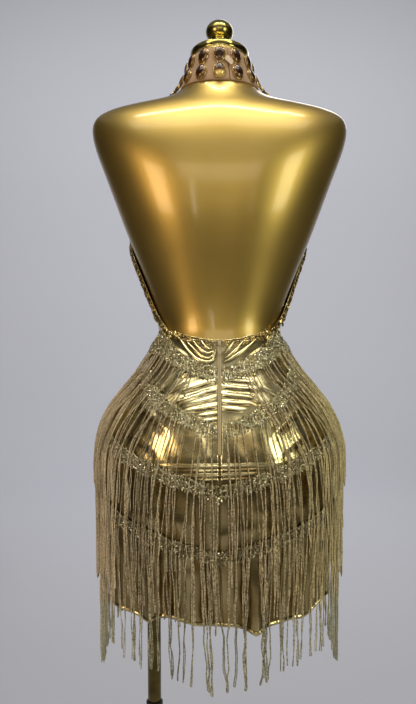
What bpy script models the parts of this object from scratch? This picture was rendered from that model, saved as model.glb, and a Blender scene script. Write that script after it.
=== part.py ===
"""Backless halter party dress of gold lame with four zigzag tiers of fringe, worn on a limbless dress form.

Metres, +Z up. The origin is the centre of the stand's underside on the floor. -Y is the back of the dress
with the open back and the zip, +Y is its front and +X is the wearer's right.
Angles go round the body in degrees: 0 is the centre back, 90 the wearer's right and 180 the front.
"""

import math
import random
from collections import namedtuple

import bmesh
import bpy
from mathutils import Matrix, Vector

# Heights above the floor
WAIST = 1.0575
NECKLINE_BACK = 1.0445
HEM = 0.628
FORM_BOTTOM = 0.700
NECK_TOP = 1.476
HIP_LINE = 0.850

# Shape of the skirt's edges: how far round the neckline's dip reaches, the rise of the hem at the sides,
# and the heights over which the rows of the cloth bend from these edges to level
DIP_REACH = 52
HEM_RISE = 0.020
FLUTE_DROP = 0.8
DIP_ENDS = 1.000
HEM_BEND = 0.07

# Cloth
WALL = 0.0016
SEAM_GAP = 0.0003
BODICE_EASE = 0.0027
BODICE_OUT = BODICE_EASE + WALL
TRIM_GAP = 0.0005
ZIP_CLEARANCE = 0.0040

# Dress form, neck cap and stand
NECK_LEAN = math.tan(math.radians(10))
LEAN_STARTS = 1.430
SPINE_DEPTH = 0.004
SPINE_WIDTH = 0.028
SPINE_DEEPENS = (1.06, 1.14)
SPINE_FADES = (1.33, 1.41)
CUP_DEPTH = 0.016
CUP_CENTRE = (0.078, 1.205)
CUP_SPREAD = (0.052, 0.058)
CAP_RADIUS = 0.0455
CAP_THICKNESS = 0.0115
POLE_X = -0.107
POLE_RADIUS = 0.0109
LOWER_POLE_RADIUS = 0.0127
LOWER_POLE_TOP = 0.4470
BASE_RADIUS = 0.175
BASE_THICKNESS = 0.008
FOOT_RADIUS = 0.030
BUSH_HEIGHT = 0.007
FLANGE_RADIUS = 0.027
FLANGE_THICKNESS = 0.0058
CONTACT_GAP = 0.0003

# Fringe
STRAND_WIDTH = 0.0034
STRAND_DEPTH = 0.0015
STRANDS_A_TIER = 40
STRAND_TAPER = 0.8
BAND_GAP = 0.0020
BAND_WALL = 0.0012
BAND_HEIGHT = 0.022
BAND_DROP = 0.020
STRAND_LEVELS = (0.985, 0.952, 0.920, 0.888, 0.850, 0.645)
STRAND_STEP = 0.010
TIP_STEP = 0.020
STRAND_SWAY = 0.8
LENGTH_SPREAD = 0.009
HEM_CLEARANCE = 0.012
FAN_ENDS = 0.6

# Zip
ZIP_TOP = 1.0430
ZIP_BOTTOM = 0.883
ZIP_HALF_WIDTH = 0.0026
ZIP_TAPE = 0.0008
ZIP_SLIT = 0.02
TAPE_GAP = 0.0007
SLIDER_LENGTH, SLIDER_WIDTH, SLIDER_DEPTH = 0.0090, 0.0056, 0.0016
SLIDER_DROP = 0.0065
BRIDGE_WIDTH, BRIDGE_OPENING, BRIDGE_WALL, BRIDGE_SPLAY = 0.0016, 0.0018, 0.0009, 0.0008
TAB_WIDTH, TAB_LENGTH, TAB_DEPTH = 0.0056, 0.0150, 0.0009
EYE_CLEARANCE, EYE_LENGTH, EYE_BAR, EYE_RIM = 0.0006, 0.0042, 0.00045, 0.0008
PIVOT_OUT = SLIDER_DEPTH + 0.5 * BRIDGE_OPENING

# Collar
COLLAR_BOTTOM = 1.4290
COLLAR_TOP = 1.4700
COLLAR_SLIT = 0.012
TAB_LIFT = 0.0007
TAB_WALL = 0.0010
STONE_COLUMNS = 13
STONE_SEAT = 0.0010
STONE_SIDES = 7
STONE_LEAN = 24
STONE_SHARE = 0.82
OVAL_HEIGHT, DROP_HEIGHT = 1.4605, 1.4415

# Jewelled braid along the armholes and plain braid along the back neckline
BRAID_PITCH = 0.0170
BRAID_NARROW, BRAID_WIDE = 0.0020, 0.0036
BRAID_INSET = 3.0
BRAID_BOTTOM, BRAID_TOP = 1.0610, 1.4240
BRAID_SEAT = 0.89
NECKLINE_BRAID = 0.0016
NECKLINE_BRAID_DROP = 0.0030
NECKLINE_BRAID_END = 50

Section = namedtuple("Section", "height side back front roundness")

FORM_SECTIONS = (
    Section(0.700, 0.1680, 0.1040, 0.0980, 2.2),
    Section(0.760, 0.1790, 0.1180, 0.1040, 2.2),
    Section(0.820, 0.1850, 0.1320, 0.1100, 2.2),
    Section(0.870, 0.1840, 0.1345, 0.1105, 2.2),
    Section(0.905, 0.1765, 0.1310, 0.1090, 2.2),
    Section(0.940, 0.1610, 0.1215, 0.1060, 2.2),
    Section(0.970, 0.1390, 0.1080, 0.1010, 2.2),
    Section(1.000, 0.1160, 0.0950, 0.0950, 2.2),
    Section(1.030, 0.1020, 0.0850, 0.0890, 2.2),
    Section(1.058, 0.0930, 0.0795, 0.0845, 2.2),
    Section(1.085, 0.0985, 0.0800, 0.0860, 2.2),
    Section(1.110, 0.1075, 0.0830, 0.0900, 2.2),
    Section(1.150, 0.1230, 0.0900, 0.0980, 2.2),
    Section(1.190, 0.1395, 0.0980, 0.1030, 2.25),
    Section(1.240, 0.1585, 0.1060, 0.1020, 2.3),
    Section(1.290, 0.1765, 0.1090, 0.0920, 2.35),
    Section(1.330, 0.1925, 0.1050, 0.0790, 2.4),
    Section(1.360, 0.2005, 0.0960, 0.0670, 2.4),
    Section(1.374, 0.1999, 0.0900, 0.0610, 2.35),
    Section(1.387, 0.1920, 0.0830, 0.0560, 2.3),
    Section(1.395, 0.1760, 0.0780, 0.0530, 2.25),
    Section(1.400, 0.1550, 0.0745, 0.0510, 2.2),
    Section(1.405, 0.1240, 0.0710, 0.0490, 2.15),
    Section(1.411, 0.0950, 0.0675, 0.0470, 2.1),
    Section(1.418, 0.0760, 0.0640, 0.0450, 2.05),
    Section(1.427, 0.0625, 0.0600, 0.0430, 2.0),
    Section(1.440, 0.0530, 0.0565, 0.0420, 2.0),
    Section(1.458, 0.0462, 0.0535, 0.0425, 2.0),
    Section(NECK_TOP, 0.0440, 0.0515, 0.0445, 2.0),
)

SKIRT_SECTIONS = (
    Section(0.600, 0.1750, 0.1260, 0.1130, 2.2),
    Section(0.660, 0.1790, 0.1285, 0.1150, 2.2),
    Section(0.730, 0.1850, 0.1320, 0.1170, 2.2),
    Section(0.790, 0.1888, 0.1365, 0.1175, 2.2),
    Section(0.830, 0.1898, 0.1395, 0.1175, 2.2),
    Section(0.870, 0.1888, 0.1398, 0.1160, 2.2),
    Section(0.905, 0.1814, 0.1360, 0.1138, 2.2),
    Section(0.940, 0.1660, 0.1265, 0.1105, 2.2),
    Section(0.970, 0.1440, 0.1130, 0.1055, 2.2),
    Section(1.000, 0.1205, 0.0997, 0.0995, 2.2),
    Section(1.030, 0.1062, 0.0895, 0.0930, 2.2),
    Section(1.058, 0.0968, 0.0833, 0.0882, 2.2),
    Section(1.080, 0.0965, 0.0830, 0.0880, 2.2),
)

# Rows of the form that only it has, and rows that it shares with the bodice on it
HIP_LEVELS = (0.700, 0.790, 0.860, 0.905, 0.940, 0.970, 1.000, 1.030)
TORSO_LEVELS = (
    1.058, 1.070, 1.086, 1.115, 1.150, 1.180, 1.205, 1.230, 1.260, 1.300,
    1.335, 1.362, 1.378, 1.388, 1.396, 1.402, 1.409, 1.418, 1.428,
)
NECK_LEVELS = (1.443, 1.460, NECK_TOP)

# Free edges of the bodice, from the waist up round the armholes to the collar
Edge = namedtuple("Edge", "height right left")
BODICE_EDGE = (
    Edge(1.058, 52.0, 52.0),
    Edge(1.070, 64.0, 62.0),
    Edge(1.083, 75.0, 71.0),
    Edge(1.106, 87.0, 78.0),
    Edge(1.132, 93.0, 83.0),
    Edge(1.176, 99.0, 91.0),
    Edge(1.200, 108.0, 103.0),
    Edge(1.240, 129.0, 128.0),
    Edge(1.300, 145.0, 145.0),
    Edge(1.360, 155.0, 155.0),
    Edge(1.387, 156.0, 156.0),
    Edge(1.400, 150.0, 150.0),
    Edge(1.409, 134.0, 134.0),
    Edge(1.416, 117.0, 117.0),
    Edge(1.424, 97.0, 97.0),
    Edge(1.434, 90.0, 90.0),
)

# Soft flutes of the free cloth above the hem, with outward folds positive
Flute = namedtuple("Flute", "angle spread depth")
FLUTES = (
    Flute(16, 7, 0.0085),
    Flute(38, 12, -0.0050),
    Flute(60, 10, 0.0055),
    Flute(84, 12, -0.0045),
    Flute(106, 11, 0.0055),
    Flute(130, 12, -0.0045),
    Flute(153, 10, 0.0045),
    Flute(176, 12, -0.0040),
    Flute(201, 10, 0.0045),
    Flute(226, 12, -0.0045),
    Flute(250, 11, 0.0050),
    Flute(275, 12, -0.0045),
    Flute(298, 10, 0.0055),
    Flute(317, 10, -0.0040),
    Flute(336, 9, 0.0060),
    Flute(356, 9, -0.0040),
)
FLUTES_START = 0.770

# Crosswise pull lines of the tight back, as troughs in the cloth
Trough = namedtuple("Trough", "height depth reach")
TROUGHS = (
    Trough(0.8460, 0.0012, 0.095),
    Trough(0.8600, 0.0012, 0.085),
    Trough(0.9310, 0.0012, 0.055),
    Trough(0.9450, 0.0014, 0.066),
    Trough(0.9590, 0.0014, 0.070),
    Trough(0.9730, 0.0011, 0.066),
)
TROUGH_SPREAD = 0.0036

# Rows of the skirt's panels, with one on each pull line and one on the cloth between two of them
PULL_LEVELS = [line.height for line in TROUGHS]
BETWEEN_LEVELS = [(low + high) / 2 for low, high in zip(PULL_LEVELS, PULL_LEVELS[1:]) if high - low < 0.02]
LOWER_LEVELS = [HEM, 0.655, 0.690, 0.735, 0.785]
UPPER_LEVELS = [0.986, 1.000, 1.015, 1.031, 1.045, WAIST]
HIP_BACK_LEVELS = [0.825, 0.838, 0.872, 0.895, 0.915]
HIP_FRONT_LEVELS = [0.830, 0.868, 0.900, 0.925, 0.948, 0.968]
BACK_LEVELS = sorted(LOWER_LEVELS + HIP_BACK_LEVELS + PULL_LEVELS + BETWEEN_LEVELS + UPPER_LEVELS)
FRONT_LEVELS = LOWER_LEVELS + HIP_FRONT_LEVELS + UPPER_LEVELS

SIDE_SEAM = 90.0
SEAM_TURN = 0.1

Panel = namedtuple("Panel", "name start end steps levels")
PANELS = (
    Panel("skirt_back_right", ZIP_SLIT, SIDE_SEAM - SEAM_TURN, 9, BACK_LEVELS),
    Panel("skirt_front", SIDE_SEAM + SEAM_TURN, 360 - SIDE_SEAM - SEAM_TURN, 18, FRONT_LEVELS),
    Panel("skirt_back_left", 360 - SIDE_SEAM + SEAM_TURN, 360 - ZIP_SLIT, 9, BACK_LEVELS),
)

# Course of the bands round the body, from their lowest at the centres to their highest at the hips
Bend = namedtuple("Bend", "angle share")
ZIGZAG = (Bend(0, 0.0), Bend(60, 1.0), Bend(95, 0.5), Bend(133, 1.0), Bend(180, 0.0))

# Each band's lowest middle height, its rise to the hips, and its strands: their length and how much longer
# they are at the side seams, how far they stand off the skirt, how many degrees they fan out over the hips
# and the phase that keeps tiers from lying on each other
Tier = namedtuple("Tier", "name valley rise length side_extra root_layer layer fan phase open_back seed")
TIERS = (
    Tier("fringe_tier_1", 0.9915, 0.043, 0.200, 0.0, 0.0085, 0.0098, 13.0, 0.50, True, 11),
    Tier("fringe_tier_2", 0.9120, 0.080, 0.205, 0.0, 0.0046, 0.0066, 5.0, 0.30, True, 12),
    Tier("fringe_tier_3", 0.8280, 0.062, 0.200, 0.0, 0.0046, 0.0050, 0.0, 0.00, False, 13),
    Tier("fringe_tier_4", 0.7300, 0.056, 0.190, 0.045, 0.0033, 0.0033, 0.0, 0.75, False, 14),
)
SIDE_SPREAD = 20

Finish = namedtuple("Finish", "colour roughness metallic")
FINISHES = {
    "form_gold": Finish((0.60, 0.43, 0.12), 0.22, 0.85),
    "brass": Finish((0.62, 0.52, 0.18), 0.12, 1.0),
    "lame_gold": Finish((0.78, 0.66, 0.34), 0.25, 0.9),
    "fringe_gold": Finish((0.58, 0.50, 0.33), 0.45, 0.5),
    "nude_mesh": Finish((0.78, 0.62, 0.50), 0.7, 0.0),
    "stone_gold": Finish((0.55, 0.40, 0.12), 0.1, 0.8),
    "bush_black": Finish((0.03, 0.03, 0.03), 0.5, 0.0),
}


def clear_scene():
    for thing in list(bpy.data.objects):
        bpy.data.objects.remove(thing)


def material(name):
    found = bpy.data.materials.get(name)
    if found:
        return found
    finish = FINISHES[name]
    made = bpy.data.materials.new(name)
    made.use_nodes = True
    shader = made.node_tree.nodes["Principled BSDF"]
    shader.inputs["Base Color"].default_value = (*finish.colour, 1.0)
    shader.inputs["Roughness"].default_value = finish.roughness
    shader.inputs["Metallic"].default_value = finish.metallic
    return made


def add_solid(name, points, faces, finish):
    """A new object from points and faces, shaded smooth except at sharp edges."""
    mesh = bpy.data.meshes.new(name)
    mesh.from_pydata([tuple(p) for p in points], [], faces)
    mesh.materials.append(material(finish))
    mesh.shade_smooth()
    mesh.set_sharp_from_angle(angle=math.radians(40))
    made = bpy.data.objects.new(name, mesh)
    bpy.context.scene.collection.objects.link(made)
    return made


def smoothstep(low, high, value):
    share = min(1.0, max(0.0, (value - low) / (high - low)))
    return share * share * (3 - 2 * share)


def gentle_slopes(heights, values):
    """Slopes for a cubic through the values that never swings past them."""
    rates = [
        (after - before) / (high - low)
        for low, high, before, after in zip(heights, heights[1:], values, values[1:])
    ]
    found = [rates[0]]
    for before, after in zip(rates, rates[1:]):
        found.append(0.0 if before * after <= 0 else 2 * before * after / (before + after))
    return [*found, rates[-1]]


class Smooth:
    """A table read at any height, each of its columns on a smooth curve."""

    def __init__(self, rows):
        self.kind = type(rows[0])
        self.heights = [row.height for row in rows]
        self.columns = list(zip(*rows))
        self.slopes = [gentle_slopes(self.heights, column) for column in self.columns]

    def at(self, height):
        height = min(self.heights[-1], max(self.heights[0], height))
        place = 0
        while place < len(self.heights) - 2 and self.heights[place + 1] < height:
            place += 1
        step = self.heights[place + 1] - self.heights[place]
        share = (height - self.heights[place]) / step
        weights = (
            (1 + 2 * share) * (1 - share) ** 2,
            share * (1 - share) ** 2 * step,
            share * share * (3 - 2 * share),
            share * share * (share - 1) * step,
        )
        values = [
            weights[0] * column[place]
            + weights[1] * slope[place]
            + weights[2] * column[place + 1]
            + weights[3] * slope[place + 1]
            for column, slope in zip(self.columns, self.slopes)
        ]
        return self.kind(*values)


FORM = Smooth(FORM_SECTIONS)
SKIRT = Smooth(SKIRT_SECTIONS)
ARMHOLE = Smooth(BODICE_EDGE)


def ring_point(section, angle):
    """x and y on a rounded ring: an ellipse whose halves differ, a little squarer than a circle."""
    turn = math.radians(angle)
    sine, cosine = math.sin(turn), math.cos(turn)
    power = 2 / section.roundness
    depth = section.back if cosine > 0 else section.front
    x = section.side * math.copysign(abs(sine) ** power, sine)
    y = -depth * math.copysign(abs(cosine) ** power, cosine)
    return x, y


def angle_across(section, x):
    """Angle on the back half of a ring where it reaches x."""
    share = abs(x) / section.side
    return math.degrees(math.asin(share ** (section.roundness / 2)))


def angle_apart(first, second):
    return abs((first - second + 180) % 360 - 180)


def form_point(angle, height):
    """The dress form's surface: a spine hollow, a soft bust, and a neck cut on a slant."""
    section = FORM.at(height)
    x, y = ring_point(section, angle)
    cosine = math.cos(math.radians(angle))
    if cosine > 0:
        spine = smoothstep(*SPINE_DEEPENS, height) * (1 - smoothstep(*SPINE_FADES, height))
        y += SPINE_DEPTH * spine * math.exp(-((x / SPINE_WIDTH) ** 2))
    else:
        across = (abs(x) - CUP_CENTRE[0]) / CUP_SPREAD[0]
        along = (height - CUP_CENTRE[1]) / CUP_SPREAD[1]
        y += CUP_DEPTH * -cosine * math.exp(-(across**2) - along**2)
    lean = NECK_LEAN * smoothstep(LEAN_STARTS, NECK_TOP, height)
    return Vector((x, y, height - y * lean))


def flute(angle, height):
    """How far the free cloth near the hem stands out or in."""
    free = smoothstep(0, FLUTES_START - HEM, FLUTES_START - height)
    return free * sum(
        fold.depth * math.exp(-((angle_apart(angle, fold.angle) / fold.spread) ** 2))
        for fold in FLUTES
    )


def trough(x, height):
    """Depth of the crosswise pull lines at a place on the back."""
    depth = 0.0
    for line in TROUGHS:
        near = math.exp(-(((height - line.height) / TROUGH_SPREAD) ** 2))
        depth += line.depth * near * (1 - smoothstep(0.5 * line.reach, line.reach, abs(x)))
    return depth


def plain_skirt_point(angle, height):
    """The skirt's outer surface with its hem flutes, and without the pull lines."""
    x, y = ring_point(SKIRT.at(height), angle)
    out = 1 + flute(angle, height) / math.hypot(x, y)
    return Vector((x * out, y * out, height))


def skirt_point(angle, height):
    point = plain_skirt_point(angle, height)
    if math.cos(math.radians(angle)) > 0:
        inward = 1 - trough(point.x, height) / math.hypot(point.x, point.y)
        point.x *= inward
        point.y *= inward
    return point


def outward(surface, angle, height):
    around = surface(angle + 0.4, height) - surface(angle - 0.4, height)
    upward = surface(angle, height + 0.002) - surface(angle, height - 0.002)
    return around.cross(upward).normalized()


def moved_out(surface, angle, height, distance):
    """A point of a surface, moved out along the normal."""
    return surface(angle, height) + distance * outward(surface, angle, height)


class Grid:
    """The flat faces of a panel, between its columns of angles and rows of heights."""

    def __init__(self, surface, places, outer):
        self.surface = surface
        self.angles = [angle for angle, height in places[0]]
        self.rows = [
            [moved_out(surface, angle, height, outer) for angle, height in row] for row in places
        ]

    def above(self, angle, height, distance):
        """A point in front of the faces."""
        last = len(self.angles) - 2
        column = 0
        while column < last and self.angles[column + 1] < angle:
            column += 1
        share = (angle - self.angles[column]) / (self.angles[column + 1] - self.angles[column])
        line = [row[column].lerp(row[column + 1], share) for row in self.rows]
        last = len(line) - 2
        level = 0
        while level < last and line[level + 1].z < height:
            level += 1
        rise = (height - line[level].z) / (line[level + 1].z - line[level].z)
        point = line[level].lerp(line[level + 1], rise)
        return point + distance * outward(self.surface, angle, height)


def sheet_faces(rows, columns):
    """Faces that join an outer grid of points to an inner one into a closed wall."""
    count = rows * columns
    top = count - columns
    faces = []
    for i in range(rows - 1):
        for j in range(columns - 1):
            a, d = i * columns + j, (i + 1) * columns + j
            b, c = a + 1, d + 1
            faces.append((a, b, c, d))
            faces.append((count + d, count + c, count + b, count + a))
    for j in range(columns - 1):
        faces.append((j + 1, j, count + j, count + j + 1))
        faces.append((top + j, top + j + 1, count + top + j + 1, count + top + j))
    for i in range(rows - 1):
        low, high = i * columns, (i + 1) * columns
        faces.append((low, high, count + high, count + low))
        low, high = low + columns - 1, high + columns - 1
        faces.append((high, low, count + low, count + high))
    return faces


def add_wall(name, places, surface, outer, thickness, finish):
    """A wall of cloth on a surface, through rows of (angle, height) places."""
    flat = [place for row in places for place in row]
    outside = [moved_out(surface, angle, height, outer) for angle, height in flat]
    inside = [moved_out(surface, angle, height, outer - thickness) for angle, height in flat]
    return add_solid(name, outside + inside, sheet_faces(len(places), len(places[0])), finish)


def add_tube(name, points, radii, sides, finish, facings):
    """A tube through points with a radius at each and a side that faces out, its ends closed."""
    count = len(points)
    rings = []
    for i, point in enumerate(points):
        ahead = points[min(i + 1, count - 1)] - points[max(i - 1, 0)]
        ahead.normalize()
        aside = ahead.cross(facings[i]).normalized()
        rise = aside.cross(ahead).normalized()
        for side in range(sides):
            turn = 2 * math.pi * (side + 0.5) / sides
            rings.append(point + radii[i] * (math.cos(turn) * aside + math.sin(turn) * rise))
    faces = []
    for i in range(count - 1):
        for side in range(sides):
            following = (side + 1) % sides
            low, high = i * sides, (i + 1) * sides
            faces.append((low + side, high + side, high + following, low + following))
    faces.append(tuple(range(sides)))
    faces.append(tuple(reversed(range((count - 1) * sides, count * sides))))
    made = add_solid(name, rings, faces, finish)
    fix_normals(made)
    return made


def fix_normals(thing):
    work = bmesh.new()
    work.from_mesh(thing.data)
    bmesh.ops.recalc_face_normals(work, faces=work.faces)
    work.to_mesh(thing.data)
    work.free()


def add_turned(name, profile, steps, finish, place=None):
    """A solid turned about Z from (radius, height) pairs, the first and last of them on the axis."""
    points = [Vector((0, 0, profile[0][1]))]
    for radius, height in profile[1:-1]:
        for step in range(steps):
            turn = 2 * math.pi * step / steps
            points.append(Vector((radius * math.cos(turn), radius * math.sin(turn), height)))
    points.append(Vector((0, 0, profile[-1][1])))
    last = len(points) - 1
    rings = len(profile) - 2
    faces = []
    for step in range(steps):
        following = (step + 1) % steps
        faces.append((0, 1 + following, 1 + step))
        faces.append((last, last - steps + step, last - steps + following))
        for ring in range(rings - 1):
            low, high = 1 + ring * steps, 1 + (ring + 1) * steps
            faces.append((low + step, low + following, high + following, high + step))
    if place:
        points = [place @ point for point in points]
    return add_solid(name, points, faces, finish)


def cap_frame():
    """Matrix from the neck cap's own axes to the part's: centred on the slanted neck."""
    back, front = form_point(0, NECK_TOP), form_point(180, NECK_TOP)
    slant = math.atan2(back.z - front.z, front.y - back.y)
    return Matrix.Translation((back + front) / 2) @ Matrix.Rotation(-slant, 4, "X")


def make_form():
    angles = [step * 10 for step in range(36)]
    levels = HIP_LEVELS + TORSO_LEVELS + NECK_LEVELS
    rings = [[form_point(angle, level) for angle in angles] for level in levels]
    points = [point for ring in rings for point in ring]
    columns = len(angles)
    faces = []
    for i in range(len(rings) - 1):
        for j in range(columns):
            k = (j + 1) % columns
            low, high = i * columns, (i + 1) * columns
            faces.append((low + j, low + k, high + k, high + j))
    faces.append(tuple(reversed(range(columns))))
    faces.append(tuple(range(len(points) - columns, len(points))))
    add_solid("form_torso", points, faces, "form_gold")


def make_cap_and_finial():
    edge, lift = 0.0012, CONTACT_GAP
    top = lift + CAP_THICKNESS
    cap = [
        (0, lift),
        (CAP_RADIUS - edge, lift),
        (CAP_RADIUS, lift + edge),
        (CAP_RADIUS, top - edge),
        (CAP_RADIUS - edge, top),
        (0, top),
    ]
    add_turned("neck_cap", cap, 28, "brass", cap_frame())
    foot = top + CONTACT_GAP
    ball_radius, ball_height = 0.0165, foot + 0.0389
    turns = [math.radians(turn) for turn in (84, 104, 124, 144, 164)]
    ball = [(ball_radius * math.sin(turn), ball_height - ball_radius * math.cos(turn)) for turn in turns]
    stem = [(0.0260, 0), (0.0260, 0.0030), (0.0150, 0.0085), (0.0118, 0.0150), (0.0125, 0.0240)]
    foot_ring = [(0.0195, 0.0272), (0.0214, 0.0290), (0.0214, 0.0345), (0.0185, 0.0362)]
    profile = [(0, foot)]
    profile += [(radius, foot + height) for radius, height in (*stem, *foot_ring)]
    profile += [*ball, (0, ball_height + ball_radius)]
    add_turned("neck_finial", profile, 16, "brass", cap_frame())


def make_stand():
    edge = 0.002
    base = [
        (0, 0),
        (BASE_RADIUS - edge, 0),
        (BASE_RADIUS, edge),
        (BASE_RADIUS, BASE_THICKNESS - edge),
        (BASE_RADIUS - edge, BASE_THICKNESS),
        (0, BASE_THICKNESS),
    ]
    add_turned("stand_base", base, 40, "brass")
    at_pole = Matrix.Translation((POLE_X, 0, 0))
    lower_top = LOWER_POLE_TOP - BUSH_HEIGHT
    foot = BASE_THICKNESS + CONTACT_GAP
    lower = [
        (0, foot),
        (FOOT_RADIUS, foot),
        (FOOT_RADIUS, foot + 0.006),
        (0.020, foot + 0.012),
        (LOWER_POLE_RADIUS, foot + 0.020),
        (LOWER_POLE_RADIUS, lower_top),
        (0, lower_top),
    ]
    add_turned("stand_lower_pole", lower, 20, "brass", at_pole)
    bush_bottom = lower_top + CONTACT_GAP
    bush = [
        (0, bush_bottom),
        (LOWER_POLE_RADIUS + 0.0008, bush_bottom),
        (LOWER_POLE_RADIUS + 0.0008, LOWER_POLE_TOP - 0.001),
        (LOWER_POLE_RADIUS - 0.0004, LOWER_POLE_TOP),
        (0, LOWER_POLE_TOP),
    ]
    add_turned("stand_bush", bush, 20, "bush_black", at_pole)
    pole_top = FORM_BOTTOM - FLANGE_THICKNESS - 2 * CONTACT_GAP
    upper = [
        (0, LOWER_POLE_TOP + CONTACT_GAP),
        (POLE_RADIUS, LOWER_POLE_TOP + CONTACT_GAP),
        (POLE_RADIUS, pole_top),
        (0, pole_top),
    ]
    add_turned("stand_upper_pole", upper, 20, "brass", at_pole)
    flange_bottom = pole_top + CONTACT_GAP
    flange = [
        (0, flange_bottom),
        (FLANGE_RADIUS - 0.003, flange_bottom),
        (FLANGE_RADIUS, flange_bottom + 0.002),
        (FLANGE_RADIUS, FORM_BOTTOM - CONTACT_GAP),
        (0, FORM_BOTTOM - CONTACT_GAP),
    ]
    add_turned("stand_flange", flange, 20, "brass", at_pole)


def skirt_top(angle):
    """Height of the skirt's upper edge, which dips at the open back."""
    return NECKLINE_BACK + (WAIST - NECKLINE_BACK) * smoothstep(0, DIP_REACH, angle_apart(angle, 0))


def skirt_hem(angle):
    """Height of the hem, higher at the sides and lower where a flute stands out."""
    return HEM + HEM_RISE * math.sin(math.radians(angle)) ** 2 - FLUTE_DROP * flute(angle, HEM)


def skirt_height(angle, level):
    """A level of the plain skirt, bent so that the top and bottom rows follow the edges."""
    top = (skirt_top(angle) - WAIST) * smoothstep(DIP_ENDS, WAIST, level)
    bottom = (skirt_hem(angle) - HEM) * smoothstep(0, HEM_BEND, HEM + HEM_BEND - level)
    return level + top + bottom


def panel_places(panel):
    step = (panel.end - panel.start) / panel.steps
    angles = [panel.start + step * index for index in range(panel.steps + 1)]
    return [[(angle, skirt_height(angle, level)) for angle in angles] for level in panel.levels]


SKIRT_GRIDS = [Grid(plain_skirt_point, panel_places(panel), 0) for panel in PANELS]


def on_skirt(angle, height, distance):
    """A point in front of the skirt's faces, at any angle and height."""
    angle %= 360
    grid = SKIRT_GRIDS[0 if angle < SIDE_SEAM else 1 if angle < 360 - SIDE_SEAM else 2]
    return grid.above(angle, height, distance)


def make_skirt():
    for panel in PANELS:
        add_wall(panel.name, panel_places(panel), skirt_point, 0, WALL, "lame_gold")


def bodice_edges(height):
    """Angles of the bodice's right and left free edges, with the left past 180."""
    edge = ARMHOLE.at(height)
    return edge.right, 360 - edge.left


def make_bodice():
    steps = 22
    places = []
    for level in (TORSO_LEVELS[0] + SEAM_GAP, *TORSO_LEVELS[1:]):
        start, end = bodice_edges(level)
        places.append([(start + (end - start) * step / steps, level) for step in range(steps + 1)])
    add_wall("bodice_front", places, form_point, BODICE_OUT, WALL, "lame_gold")


def make_collar():
    slit = angle_across(FORM.at(1.455), COLLAR_SLIT)
    half_slit = 0.5
    steps = 26
    start, end = slit + half_slit, slit + 360 - half_slit
    angles = [start + (end - start) * step / steps for step in range(steps + 1)]
    levels = (COLLAR_BOTTOM, 1.4370, 1.4460, 1.4590, COLLAR_TOP)
    places = [[(angle, height) for angle in angles] for height in levels]
    add_wall("collar_band", places, form_point, BODICE_OUT, WALL, "nude_mesh")
    tab_out = BODICE_OUT + TAB_LIFT + TAB_WALL
    reach = 5.5
    turns = (slit - reach, slit, slit + reach)
    tab = [[(turn, height) for turn in turns] for height in (1.4490, 1.4560)]
    add_wall("collar_tab", tab, form_point, tab_out, TAB_WALL, "nude_mesh")


def stone_outline(length, width, tip):
    """Outline of a flat-backed stone: an oval, or a drop where tip narrows its upper end."""
    outline = []
    for step in range(STONE_SIDES):
        turn = 2 * math.pi * step / STONE_SIDES
        narrow = 1 - tip * max(0.0, math.cos(turn)) ** 1.5
        outline.append((0.5 * width * math.sin(turn) * narrow, 0.5 * length * math.cos(turn)))
    return outline


def add_stone(name, angle, height, length, width, tip, turn, depth):
    """A domed stone that stands on the collar band."""
    back = moved_out(form_point, angle, height, BODICE_OUT + STONE_SEAT)
    normal = outward(form_point, angle, height)
    along = Vector((0, 0, 1)) - normal.z * normal
    along.normalize()
    across = along.cross(normal)
    spin = math.radians(turn)
    up = math.cos(spin) * along + math.sin(spin) * across
    side = math.cos(spin) * across - math.sin(spin) * along
    outline = stone_outline(length, width, tip)
    levels = ((0.92, 0.0), (1.0, 0.35 * depth), (0.62, 0.85 * depth))
    points = [back]
    for share, out in levels:
        points += [back + share * (x * side + z * up) + out * normal for x, z in outline]
    points.append(back + depth * normal)
    steps = STONE_SIDES
    last = len(points) - 1
    faces = []
    for step in range(steps):
        following = (step + 1) % steps
        faces.append((0, 1 + step, 1 + following))
        faces.append((last, last - steps + following, last - steps + step))
        for ring in range(len(levels) - 1):
            low, high = 1 + ring * steps, 1 + (ring + 1) * steps
            faces.append((low + step, high + step, high + following, low + following))
    fix_normals(add_solid(name, points, faces, "stone_gold"))


def make_stones():
    """Two rows of stones round the collar, ovals above and drops below, smaller towards the low front."""
    for column in range(STONE_COLUMNS):
        angle = 360 * column / STONE_COLUMNS
        lean = STONE_LEAN * math.sin(math.radians(angle))
        size = STONE_SHARE + (1 - STONE_SHARE) * math.cos(math.radians(angle))
        oval, drop = f"stone_oval_{column + 1:02d}", f"stone_drop_{column + 1:02d}"
        add_stone(oval, angle, OVAL_HEIGHT, size * 0.0205, size * 0.0148, 0.0, lean, 0.0040)
        add_stone(drop, angle, DROP_HEIGHT, size * 0.0215, size * 0.0160, 0.55, lean, 0.0050)


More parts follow.
